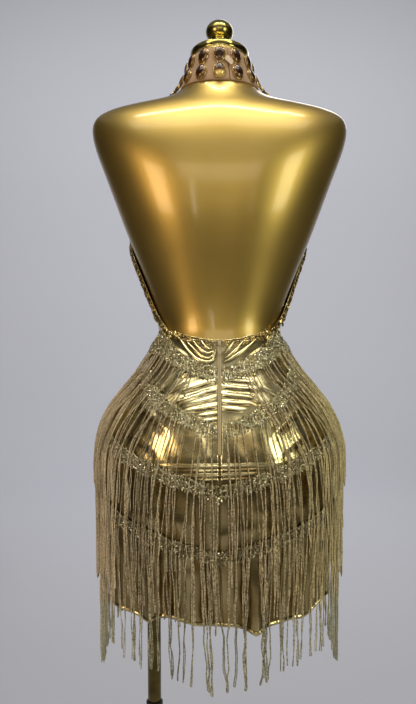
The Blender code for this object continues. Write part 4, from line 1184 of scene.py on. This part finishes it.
class DRESS_OT_collar(bpy.types.Operator):
    """Lays the mesh collar band and its closing tab"""

    bl_idname = "dress.collar"
    bl_label = "Collar"

    def execute(self, context):
        slit_height, slit_from_centre, half_slit, steps = 1.455, 0.012, 0.5, 120
        slit = angle_across(FORM.at(slit_height), slit_from_centre)
        start, end = slit + half_slit, slit + 360 - half_slit
        bottom, top, levels = 1.4290, 1.4700, 18
        rows = []
        for i in range(levels + 1):
            height = bottom + (top - bottom) * i / levels
            edge = 0.0003 if i in (1, 2, levels - 2, levels - 1) else 0.0
            edge -= 0.0022 * (1 - smoothstep(bottom, bottom + 0.008, height))
            edge -= 0.0016 * smoothstep(top - 0.006, top, height)
            rows.append([
                moved_out(form_point, start + (end - start) * j / steps, height, BODICE_OUT + edge)
                for j in range(steps + 1)
            ])
        rides(cloth("mesh_collar", rows, nude_mesh()), "nude_mesh", "collar_band")
        across, up, tilt = 14, 8, math.radians(-38)
        half_width, half_height, middle, degree = 0.0062, 0.0034, 1.4530, 0.00088
        tab = []
        for i in range(up + 1):
            row = []
            for j in range(across + 1):
                side, rise = half_width * (2 * j / across - 1), half_height * (2 * i / up - 1)
                side *= 1 - 0.30 * abs(rise / half_height) ** 2.5
                turn = slit + (side * math.cos(tilt) - rise * math.sin(tilt)) / degree
                height = middle + side * math.sin(tilt) + rise * math.cos(tilt)
                bow = 0.0005 * math.cos(0.5 * math.pi * side / half_width)
                row.append(moved_out(form_point, turn, height, BODICE_OUT + 0.0040 + bow))
            tab.append(row)
        woven = finish_of("bound_tab", mesh_finish, (0.90, 0.70, 0.46))
        rides(cloth("mesh_tab", tab, woven, 0.0010), "nude_mesh", "collar_tab")
        return {"FINISHED"}


def narrowed(tip, turn):
    """Share of a stone's width that is left towards its tip."""
    return 1 - tip * max(0.0, math.cos(turn)) ** 1.5


def stone_shape(length, width, tip, depth):
    """A domed stone on a flat back."""
    bpy.ops.mesh.primitive_uv_sphere_add(segments=20, ring_count=12, radius=1.0)
    points, faces = taken(bpy.context.object)
    shaped = []
    for point in points:
        narrow = narrowed(tip, math.atan2(point.x, point.y))
        out = depth * point.z if point.z > 0 else 0.25 * depth * point.z
        rise = max(0.0, 0.28 * depth + 0.72 * out)
        shaped.append(Vector((0.5 * width * point.x * narrow, 0.5 * length * point.y, rise)))
    return shaped, faces


def bezel_shape(length, width, tip, radius):
    """The rim of a stone's setting."""
    bpy.ops.mesh.primitive_torus_add(
        major_segments=28, minor_segments=6, major_radius=1.0, minor_radius=2 * radius / width
    )
    points, faces = taken(bpy.context.object)
    shaped = []
    for point in points:
        narrow = narrowed(tip, math.atan2(point.x, point.y))
        rise = radius * 1.2 + 0.5 * width * point.z
        shaped.append(Vector((0.5 * width * point.x * narrow, 0.5 * length * point.y, rise)))
    return shaped, faces


class DRESS_OT_stones(bpy.types.Operator):
    """Sets the two rows of amber stones on the collar"""

    bl_idname = "dress.stones"
    bl_label = "Stones"

    def execute(self, context):
        columns = 13
        amber = finish_of("amber_glass", stone_finish)
        kinds = (
            ("oval", 1.4605, 0.0210, 0.0152, 0.00, 0.0044),
            ("drop", 1.4415, 0.0220, 0.0164, 0.55, 0.0058),
        )
        bead = bead_shape(0.00075)
        for kind, height, length, width, tip, depth in kinds:
            stone = stone_shape(0.96 * length, 0.95 * width, tip, depth)
            bezel = bezel_shape(0.98 * length, 0.97 * width, tip, 0.00058)
            stones, settings = Cluster(), Cluster()
            nodes = []
            for column in range(columns):
                angle = 360 * column / columns
                lean = 24 * math.sin(math.radians(angle))
                size = 0.93 + 0.19 * math.cos(math.radians(angle))
                place = axes_on(form_point, angle, height, BODICE_OUT + 0.0010, lean) @ Matrix.Scale(size, 4)
                first = len(stones.points)
                stones.add(stone, place, 0.0)
                for index, point in enumerate(stone[0]):
                    across = math.hypot(point.x / (0.475 * width), point.y / (0.48 * length))
                    tone = 1 - 0.7 * smoothstep(0.45, 1.0, across)
                    # painted highlight: the lower half of the drop at the centre back is painted bright gold
                    if kind == "drop" and column == 0:
                        tone *= smoothstep(-0.0035, 0.0015, point.y)
                    stones.tones[first + index] = tone
                settings.add(bezel, place, 0.9)
                for claw in range(10):
                    turn = math.tau * claw / 10
                    side = 0.5 * width * math.sin(turn) * narrowed(tip, turn)
                    at = Vector((side, 0.5 * length * math.cos(turn), 0.0014))
                    settings.add(bead, place @ Matrix.Translation(at), 0.55 + 0.4 * (claw % 2))
                nodes.append(f"stone_{kind}_{column + 1:02d}")
            rides(stones.finish(f"amber_{kind}s", amber, smooth=True), "stone_amber", *nodes)
            rides(settings.finish(f"{kind}_settings", gold_beads(), smooth=True), "bead_gold")
        return {"FINISHED"}


def braid_line(side, inset=3.0, bottom=1.0610, top=1.4240):
    """Places along a free edge of the bodice, evenly spaced, as (angle, height)."""
    count = 900
    fine = []
    for i in range(count + 1):
        height = bottom + (top - bottom) * i / count
        edge = bodice_edges(height)[side]
        fine.append((edge + (-inset if side else inset), height))
    points = [form_point(*place) for place in fine]
    found, travelled = [fine[0]], 0.0
    for index in range(1, len(fine)):
        travelled += (points[index] - points[index - 1]).length
        if travelled >= BRAID_STEP:
            found.append(fine[index])
            travelled = 0.0
    return found


def tilted(chance, lean):
    return Vector([chance.uniform(-lean, lean) for _ in range(3)])


def corner_axes(sign, turn, height, spin, tilt):
    """Place of a leaf beside the top of the skirt, on either side of the back."""
    return axes_on(skirt_point, sign * turn, height, 0.0014, -sign * spin, tilt)


# How jewels are strewn: their spin and lean, their least and greatest size, how wide and long they are for
# their size, and how bright and how seldom so
Scatter = namedtuple("Scatter", "spins lean sizes wide long bright power")
BESIDE_BRAID = Scatter((-70, 70), 0.4, (0.0022, 0.0034), 0.55, 1.5, 1, 1)
AT_CORNER = Scatter((-10, 50), 0.35, (0.0024, 0.0036), 0.5, 1.7, 1, 1.3)
UP_THE_NECK = Scatter((-60, 60), 0.4, (0.0018, 0.0030), 0.6, 1.3, 0.8, 1)


def strew(jewels, chance, shape, axes, way, grown=1.0):
    """Adds one jewel, at the place that axes gives for a spin and a tilt."""
    place = axes(chance.uniform(*way.spins), tilted(chance, way.lean))
    size = chance.uniform(*way.sizes) * grown
    form = Matrix.Diagonal((way.wide * size, way.long * size, size, 1))
    jewels.add(shape, place @ form, way.bright * chance.random() ** way.power)


class DRESS_OT_braids(bpy.types.Operator):
    """Plaits the jewelled braids along the armholes, with leaves near the waist"""

    bl_idname = "dress.braids"
    bl_label = "Edge braids"

    def execute(self, context):
        bead = bead_shape(1.0, 6, 4)
        leaf = sequin_shape(6, 0.45, 0.10)
        for side, name in enumerate(("right", "left")):
            line = braid_line(side)
            chance = random.Random(71 + side)
            rope, faces, tones = [], [], []
            pitch, swells, reach, radius = 0.0155, 0.017, 0.0036, 0.00150
            for strand in range(3):
                phase = math.tau * strand / 3
                path, facing, radii = [], [], []
                for index, (angle, height) in enumerate(line):
                    wave = math.tau * index * BRAID_STEP / pitch + phase
                    swell = 0.85 + 0.45 * math.cos(math.tau * index * BRAID_STEP / swells)
                    place = axes_on(form_point, angle, height, BODICE_OUT + 0.0020)
                    off = Vector((reach * swell * math.sin(wave), 0, 0.0013 * math.sin(2 * wave)))
                    path.append(place @ off)
                    facing.append(place.col[2].to_3d())
                    radii.append(radius)
                points, ring_faces = tube_points(path, radii, 5, facing)
                join(rope, faces, points, ring_faces)
                tones += [0.22 * strand] * len(points)
            made = new_piece(f"edge_braid_{name}", rope, faces, gold_beads(), {"tone": tones})
            rides(made, "bead_gold", f"edge_trim_{name}")
            jewels = Cluster()
            for index in range(0, len(line), 3):
                angle, height = line[index]
                place = axes_on(form_point, angle, height, BODICE_OUT + 0.0036, chance.uniform(0, 360))
                size = chance.uniform(0.0013, 0.0023)
                jewels.add(bead, place @ Matrix.Scale(size, 4), chance.uniform(0.0, 0.75))
            for index in range(4, len(line), 5):
                angle, height = line[index]
                low = 1 - smoothstep(1.075, 1.13, height)
                for _ in range(3 if low > 0.4 else 2):
                    shift = chance.uniform(-1, 1) * (1.6 + 4.0 * low)
                    level = height + chance.uniform(-0.003, 0.003)
                    axes = partial(axes_on, form_point, angle + shift, level, BODICE_OUT + 0.0022)
                    strew(jewels, chance, leaf, axes, BESIDE_BRAID, 1 + 0.5 * low)
            sign = -1 if side else 1
            for _ in range(70):
                turn, height = chance.uniform(36, 70), chance.uniform(1.024, 1.060)
                if height > skirt_top(turn) - 0.002:
                    continue
                axes = partial(corner_axes, sign, turn, height)
                strew(jewels, chance, leaf, axes, AT_CORNER)
            count, foot_turn, foot_height, turned_by, climb = 44, 96, 1.4170, 22, 0.0170
            for index in range(count):
                share = index / (count - 1)
                turn = sign * (foot_turn - turned_by * share + chance.uniform(-3, 3))
                height = foot_height + climb * share + chance.uniform(-0.0012, 0.0012)
                axes = partial(axes_on, form_point, turn, height, BODICE_OUT + 0.0022)
                strew(jewels, chance, leaf if index % 3 else bead, axes, UP_THE_NECK)
            rides(jewels.finish(f"edge_jewels_{name}", gold_beads()), "bead_gold")
        return {"FINISHED"}


# Rows of beads of the binding: how far below the neckline, their size and how far out
BINDING_ROWS = (
    (0.0014, 0.8, 0.0008), (0.0040, 1.0, 0.0012), (0.0062, 0.6, 0.0006), (0.0082, 0.9, 0.0008),
    (0.0104, 0.6, 0.0004),
)


class DRESS_OT_binding(bpy.types.Operator):
    """Sews the rows of gold beads along the back neckline"""

    bl_idname = "dress.binding"
    bl_label = "Beaded binding"

    def execute(self, context):
        looks = context.scene.dress_trim_looks
        bead = bead_shape(1.0, 8, 5)
        for name, sign in (("right", 1), ("left", -1)):
            chance = random.Random(81 + sign)
            beads = Cluster()
            for drop, size, out in BINDING_ROWS:
                angle = angle_across(SKIRT.at(NECKLINE_BACK), 0.0036)
                while angle < DIP_REACH:
                    height = skirt_top(angle) - drop
                    place = axes_on(skirt_point, sign * angle, height, out)
                    tone = chance.uniform(0.55, 1.0) if chance.random() > 0.34 else chance.uniform(0.0, 0.25)
                    beads.add(bead, place @ Matrix.Scale(size * looks.bead, 4), tone)
                    angle += math.degrees(2.0 * size * looks.bead / WAIST_RADIUS)
            made = beads.finish(f"beaded_binding_{name}", gold_beads(), smooth=True)
            rides(made, "bead_gold", f"waist_trim_{name}")
        return {"FINISHED"}


class DRESS_OT_zip(bpy.types.Operator):
    """Lays the zip's tape and teeth, and finishes its slider and pull tab"""

    bl_idname = "dress.zip"
    bl_label = "Zip"

    def execute(self, context):
        top, bottom, half, out = 1.0430, 0.883, 0.0026, 0.0017
        rows = []
        steps = 60
        for i in range(steps + 1):
            height = bottom + (top - bottom) * i / steps
            reach = angle_across(SKIRT.at(height), half)
            rows.append([
                moved_out(skirt_point, reach * share, height, out + 0.0003 * (1 - abs(share)))
                for share in (-1, -0.72, -0.4, -0.12, 0, 0.12, 0.4, 0.72, 1)
            ])
        looks = context.scene.dress_cloth_looks
        woven = finish_of("woven_tape", mesh_finish, tuple(looks.tape))
        ribbon = rides(cloth("zip_ribbon", rows, woven, 0.0008), "nude_mesh", "zip_tape")
        teeth = Cluster()
        tooth = bead_shape(1.0, 6, 4)
        count = 120
        for index in range(count):
            height = bottom + 0.002 + (top - bottom - 0.012) * index / count
            side = 0.00028 if index % 2 else -0.00028
            place = axes_on(skirt_point, angle_across(SKIRT.at(height), side), height, out + 0.0004)
            teeth.add(tooth, place @ Matrix.Diagonal((0.00075, 0.00042, 0.0005, 1)), 0.8)
        nylon = finish_of("nylon_coil", mesh_finish, scaled(tuple(looks.tape), 1.1))
        coil = rides(teeth.finish("zip_coil", nylon, smooth=True), "nude_mesh")
        enamel = finish_of("enamelled_zip", enamel_finish, scaled(tuple(looks.tape), 0.85))
        for node in ("zip_slider", "zip_pull_tab"):
            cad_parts[node].data.materials[0] = enamel
        return {"FINISHED"}


def band_matrix(tier, angle, along, up, out, turn, tilt):
    """Place of a sequin: so far along a band from an angle, and so far above its middle line."""
    here = skirt_point(angle, zigzag(tier, angle))
    degree = max(0.0009, math.hypot(here.x, here.y) * math.pi / 180)
    at = angle + along / degree
    return axes_on(skirt_point, at, zigzag(tier, at) + up, out, turn, tilt)


class DRESS_OT_bands(bpy.types.Operator):
    """Sews the four zigzag bands of scrolled sequins"""

    bl_idname = "dress.bands"
    bl_label = "Sequin bands"

    def execute(self, context):
        looks = context.scene.dress_trim_looks
        disc = sequin_shape(5)
        bead = bead_shape(1.0, 5, 3)
        motif_length, band_radius = 0.0190, 0.105
        for tier in TIERS:
            chance = random.Random(tier.seed + 200)
            sewn = Cluster()
            # tone scale of each band: the third and fourth bands are painted darker, as painted shade under
            # the tiers of fringe above them
            shade_dim = {"fringe_tier_3": 0.62, "fringe_tier_4": 0.36}.get(tier.name, 0.88)
            open_back = tier.name in OPEN_TIERS
            start = angle_across(SKIRT.at(tier.valley), 0.0044) if open_back else 0.0

            def sew(
                at, along, up, radius, shape=disc, out=0.0030, stretch=1.0, turn=0.0, tone=None, lean=0.34
            ):
                if open_back and angle_apart(at + math.degrees(along / band_radius), 0) < start:
                    return
                tilt = tilted(chance, lean)
                place = band_matrix(tier, at, along, up, out + chance.uniform(-0.0003, 0.0007), turn, tilt)
                if tone is None:
                    tone = min(1.0, max(0.0, chance.gauss(0.54 * shade_dim * cluster, 0.26)))
                sewn.add(shape, place @ Matrix.Diagonal((radius, radius * stretch, radius, 1)), tone)

            angle, flip, cluster = start + 0.6, 1, 1.0
            while angle < 360 - start:
                here = skirt_point(angle, zigzag(tier, angle))
                degree = math.hypot(here.x, here.y) * math.pi / 180
                corner = hump(angle_apart(angle, 0) - 56, 19) if tier is TIERS[0] else 0.0
                big, lift = 1.0 + 0.55 * corner, 0.0050 * corner
                cluster = chance.uniform(0.60, 1.30)
                for column in range(5):
                    for row in range(-2, 3):
                        sew(angle, (column - 2) * 0.0038, lift + row * 0.0040 * big + 0.0014 * (column % 2),
                            0.0027 * big, out=0.0024, tone=shade_dim * chance.uniform(0.10, 0.55), lean=0.10)
                steps = 28
                for step in range(steps):
                    share = step / (steps - 1)
                    turn = flip * (0.6 + 4.1 * math.pi * share * 0.62)
                    reach = big * (0.0098 * (1 - share) ** 0.8 + 0.0012)
                    sew(angle, reach * math.cos(turn), lift + flip * 0.0010 + reach * math.sin(turn),
                        looks.sequin * chance.uniform(0.80, 1.20), turn=math.degrees(turn), out=0.0035)
                for leaf in range(7):
                    along = (leaf - 3) * 0.0029
                    sew(angle, along, lift - flip * (0.0080 + 0.0018 * math.cos(along * 500)) * big,
                        looks.sequin * 1.05, stretch=1.9, turn=flip * (12 + 17 * (leaf - 3)), out=0.0031)
                for _ in range(31):
                    sew(angle, chance.uniform(-0.0095, 0.0095), lift + chance.gauss(0, 0.0066) * big,
                        looks.sequin * chance.uniform(0.50, 0.90), out=0.0032)
                for _ in range(8):
                    sew(angle, chance.uniform(-0.009, 0.009), lift + chance.uniform(-0.0098, 0.0098) * big,
                        0.00105, shape=bead, out=0.0040, tone=chance.uniform(0.6, 1.0))
                angle += motif_length / degree
                flip = -flip
            rides(sewn.finish(f"sequin_band_{tier.name[-1]}", sequins()), "bead_gold")
        return {"FINISHED"}


def strand_places(tier, chance):
    """Angles of a tier's strands: gathered in loose clumps, close on the hips and open at the centre back."""
    slit = angle_across(SKIRT.at(tier.valley), 0.0040) if tier.name in OPEN_TIERS else 0
    found = []
    for index in range(tier.strands):
        base = 360 * (index + chance.uniform(-0.32, 0.32)) / tier.strands
        clump = math.sin(math.radians(base * 13 + 50 * tier.seed)) + 0.7 * math.sin(math.radians(base * 29))
        base += 1.1 * clump
        centre = hump(angle_apart(base, 0), 30)
        if angle_apart(base, 0) > slit and chance.random() > 0.50 * centre * (tier.fan > 10):
            found.append(base)
    return found


def strand_line(tier, angle, chance):
    """Middle points of one strand: fanned over the hip, then straight down from where it is widest."""
    root = zigzag(tier, angle) - HALF_BAND * chance.uniform(0.0, 0.9)
    from_side = angle_apart(angle_apart(angle, 0), 90)
    length = tier.length + tier.side_extra * hump(from_side, 20) + chance.gauss(0, 0.0042)
    tip = zigzag(tier, angle) - HALF_BAND - length
    spread = math.sin(math.radians(2 * angle))
    full_fan = tier.fan * (spread + 0.25 * chance.uniform(-1, 1) * abs(spread)) + chance.gauss(0, 0.9)
    off = chance.uniform(tier.near, tier.far)
    facing = outward(skirt_point, angle + full_fan, 0.850)
    facing.z = 0
    facing.normalize()
    lean = chance.gauss(0, 1.0)
    sway, phase, pace = chance.uniform(0.0005, 0.0020), chance.uniform(0, PHASE_RANGE), chance.uniform(40, 110)
    steps = 24
    points, widest = [], None
    for step in range(steps + 1):
        share = step / steps
        height = root + (tip - root) * share
        at = angle + full_fan * smoothstep(0, 0.62, share * tier.length / 0.2) + lean * share * share
        surface_height = max(height, HEM + 0.012)
        here = moved_out(skirt_point, at, surface_height, off * smoothstep(-0.12, 0.14, share) + 0.0012)
        aside = Vector((-facing.y, facing.x, 0))
        if widest is None or here.dot(facing) > widest.dot(facing):
            widest = here
            depth = here.dot(facing)
        else:
            here = here + (depth - here.dot(facing)) * facing
        wave = sway * share * (math.sin(pace * height + phase) + 0.4 * math.sin(2.3 * pace * height))
        points.append(Vector((here.x, here.y, height)) + wave * aside)
    return points, facing


class DRESS_OT_fringe(bpy.types.Operator):
    """Hangs the strands of the four tiers, twisted pairs looped at their tips"""

    bl_idname = "dress.fringe"
    bl_label = "Fringe"

    def execute(self, context):
        looks = context.scene.dress_fringe_looks
        finish = finish_of("chain_fringe", fringe_finish, tuple(looks.pale), tuple(looks.dark))
        sides = 4
        for tier in TIERS:
            chance = random.Random(tier.seed)
            points, faces, tones, alongs = [], [], [], []
            for angle in strand_places(tier, chance):
                line, facing = strand_line(tier, angle, chance)
                tone = min(1.0, max(0.0, chance.gauss(0.50, 0.30)))
                turn, twist = chance.uniform(0, PHASE_RANGE), chance.uniform(0.08, 0.55)
                aside = Vector((-facing.y, facing.x, 0))
                double = chance.random() < 0.66
                legs = ((1, 1), (-1, -1)) if double else ((1, 0),)
                path = []
                for order, share in legs:
                    leg = []
                    for index, middle in enumerate(line):
                        wind = turn + twist * index
                        spread = share * tier.thread * looks.pair * min(1.0, index / 3)
                        leg.append(middle + spread * (math.cos(wind) * aside + 0.8 * math.sin(wind) * facing))
                    path += leg if order > 0 else [line[-1] + Vector((0, 0, -0.0010)), *reversed(leg)]
                radius = tier.thread * looks.radius * chance.uniform(0.85, 1.15) * (1.0 if double else 1.15)
                radii = [radius] * len(path)
                rings, ring_faces = tube_points(path, radii, sides, [facing] * len(path))
                join(points, faces, rings, ring_faces)
                tones += [tone] * len(rings)
                travelled = 0.0
                for index, place in enumerate(path):
                    if index:
                        travelled += (place - path[index - 1]).length
                    alongs += [travelled] * sides
            made = new_piece(tier.name + "_strands", points, faces, finish, {"tone": tones, "along": alongs})
            rides(made, "fringe_gold", tier.name)
        return {"FINISHED"}


Cut = namedtuple("Cut", "sheet width length held rests_on area trims")


class DRESS_OT_cut(bpy.types.Operator):
    """Changes nothing and returns at once"""

    bl_idname = "dress.cut"
    bl_label = "Cut of the cloth"

    def execute(self, context):
        return {"FINISHED"}


class DRESS_OT_stage(bpy.types.Operator):
    """Sets the floor and wall, the lights and the camera"""

    bl_idname = "dress.stage"
    bl_label = "Stage"

    def execute(self, context):
        looks = context.scene.dress_stage_looks
        sweep = floor_finish("studio_sweep", tuple(looks.floor), tuple(looks.studio))
        flat, curve = 3.4, 2.2
        profile = [(0.8, 0.0), (1.6, 0.0), (2.4, 0.0), (flat, 0.0)]
        for turn in range(10, 91, 10):
            angle = math.radians(turn)
            profile.append((flat + curve * math.sin(angle), curve - curve * math.cos(angle)))
        profile += [(5.6, 3.6), (5.6, 5.0)]
        steps = 72
        points, dusk, faces = [Vector((0, 0, 0))], [0.0], []
        for radius, height in profile:
            for step in range(steps):
                turn = math.tau * step / steps
                points.append(Vector((radius * math.cos(turn), radius * math.sin(turn), height)))
                # painted shade: the sweep is painted dark away from the wall behind the dress
                aside = angle_apart(math.degrees(turn), 90)
                dusk.append(smoothstep(24, 60, aside) * smoothstep(1.3, 2.6, radius))
        for step in range(steps):
            following = (step + 1) % steps
            faces.append((0, 1 + step, 1 + following))
            for ring in range(len(profile) - 1):
                low, high = 1 + ring * steps, 1 + (ring + 1) * steps
                faces.append((low + step, high + step, high + following, low + following))
        floor = new_piece("studio_floor", points, faces, sweep, {"dusk": dusk})
        world = bpy.data.worlds.new("studio_air")
        world.use_nodes = True
        world.node_tree.nodes["Background"].inputs["Color"].default_value = (0.80, 0.82, 0.90, 1.0)
        world.node_tree.nodes["Background"].inputs["Strength"].default_value = 0.20
        context.scene.world = world
        lights = (
            ("top_strip", (0.0, -0.7, 3.2), (0.0, 0.0, 1.35), 2.4, 0.05, 20, (1.0, 1.0, 1.0)),
            ("crown_wash", (0.0, -1.5, 3.5), (0.0, 0.0, 0.8), 4.2, 0.7, 24, (1.0, 0.97, 0.90)),
            ("back_wash", (0.0, -2.7, 2.5), (0.0, 0.0, 1.1), 2.8, 1.2, 3, (1.0, 0.98, 0.92)),
            ("left_glow", (-1.8, -2.2, 1.22), (0.0, 0.0, 1.15), 0.80, 1.00, 15.0, (1.0, 0.76, 0.52)),
            ("right_glow", (2.0, -2.0, 1.35), (0.0, 0.0, 1.15), 0.75, 1.25, 15.0, (0.98, 1.0, 0.80)),
            ("middle_glow", (0.62, -2.6, 1.25), (0.0, 0.0, 1.15), 0.30, 0.90, 0.7, (1.0, 0.78, 0.55)),
            ("mid_wash", (0.0, -2.7, 1.82), (0.0, 0.0, 1.15), 1.80, 0.45, 4.5, (1.0, 0.95, 0.86)),
            ("left_line", (-0.34, -2.6, 1.20), (0.0, 0.0, 1.15), 0.16, 0.70, 1.4, (1.0, 0.96, 0.85)),
            ("wall_wash", (0.0, 2.6, 3.6), (0.0, 5.2, 1.3), 3.0, 1.2, 80, (0.96, 0.97, 1.0)),
            ("front_wash", (0.6, 2.4, 2.6), (0.0, 0.0, 1.0), 1.2, 1.2, 12, (1.0, 1.0, 1.0)),
        )
        for name, place, aim, width, height, power, colour in lights:
            data = bpy.data.lights.new(name, "AREA")
            data.shape = "RECTANGLE"
            data.size, data.size_y, data.energy, data.color = width, height, power, colour
            made = bpy.data.objects.new(name, data)
            made.location = place
            made.rotation_mode = "QUATERNION"
            made.rotation_quaternion = (Vector(aim) - Vector(place)).to_track_quat("-Z", "Y")
            context.scene.collection.objects.link(made)
        view = bpy.data.cameras.new("photo_view")
        view.lens = looks.lens
        view.sensor_width = 36.0
        picture_height, off_centre = 704, -11.5
        view.shift_x = off_centre / picture_height
        camera = bpy.data.objects.new("photo_view", view)
        camera.location = (0.0, -1.12, 1.085)
        tilt_down = 3.24
        camera.rotation_euler = (math.radians(90 - tilt_down), 0, 0)
        context.scene.collection.objects.link(camera)
        context.scene.camera = camera
        context.scene.view_settings.view_transform = "Standard"
        return {"FINISHED"}


class DRESS_PT_pieces(bpy.types.Panel):
    """Lists the pieces of the dress and the values that shape them"""

    bl_idname = "DRESS_PT_pieces"
    bl_label = "Party dress"
    bl_space_type = "VIEW_3D"
    bl_region_type = "UI"
    bl_category = "Dress"

    def draw(self, context):
        for operator in OPERATORS:
            self.layout.operator(operator.bl_idname)
        for name, group in GROUPS.items():
            box = self.layout.box()
            for key in group.__annotations__:
                box.prop(getattr(context.scene, name), key)


OPERATORS = (
    DRESS_OT_form,
    DRESS_OT_finial,
    DRESS_OT_stand,
    DRESS_OT_skirt,
    DRESS_OT_cowl,
    DRESS_OT_bodice,
    DRESS_OT_collar,
    DRESS_OT_stones,
    DRESS_OT_braids,
    DRESS_OT_binding,
    DRESS_OT_zip,
    DRESS_OT_bands,
    DRESS_OT_fringe,
    DRESS_OT_cut,
    DRESS_OT_stage,
)


def register():
    for made in (*GROUPS.values(), *OPERATORS, DRESS_PT_pieces):
        bpy.utils.register_class(made)
    for name, group in GROUPS.items():
        setattr(bpy.types.Scene, name, bpy.props.PointerProperty(type=group))


def unregister():
    for name in GROUPS:
        delattr(bpy.types.Scene, name)
    for made in (DRESS_PT_pieces, *reversed(OPERATORS), *reversed(GROUPS.values())):
        bpy.utils.unregister_class(made)


def main():
    register()
    bpy.ops.object.select_all(action="DESELECT")
    for operator in OPERATORS:
        group, name = operator.bl_idname.split(".")
        getattr(getattr(bpy.ops, group), name)()


if __name__ == "__main__":
    main()
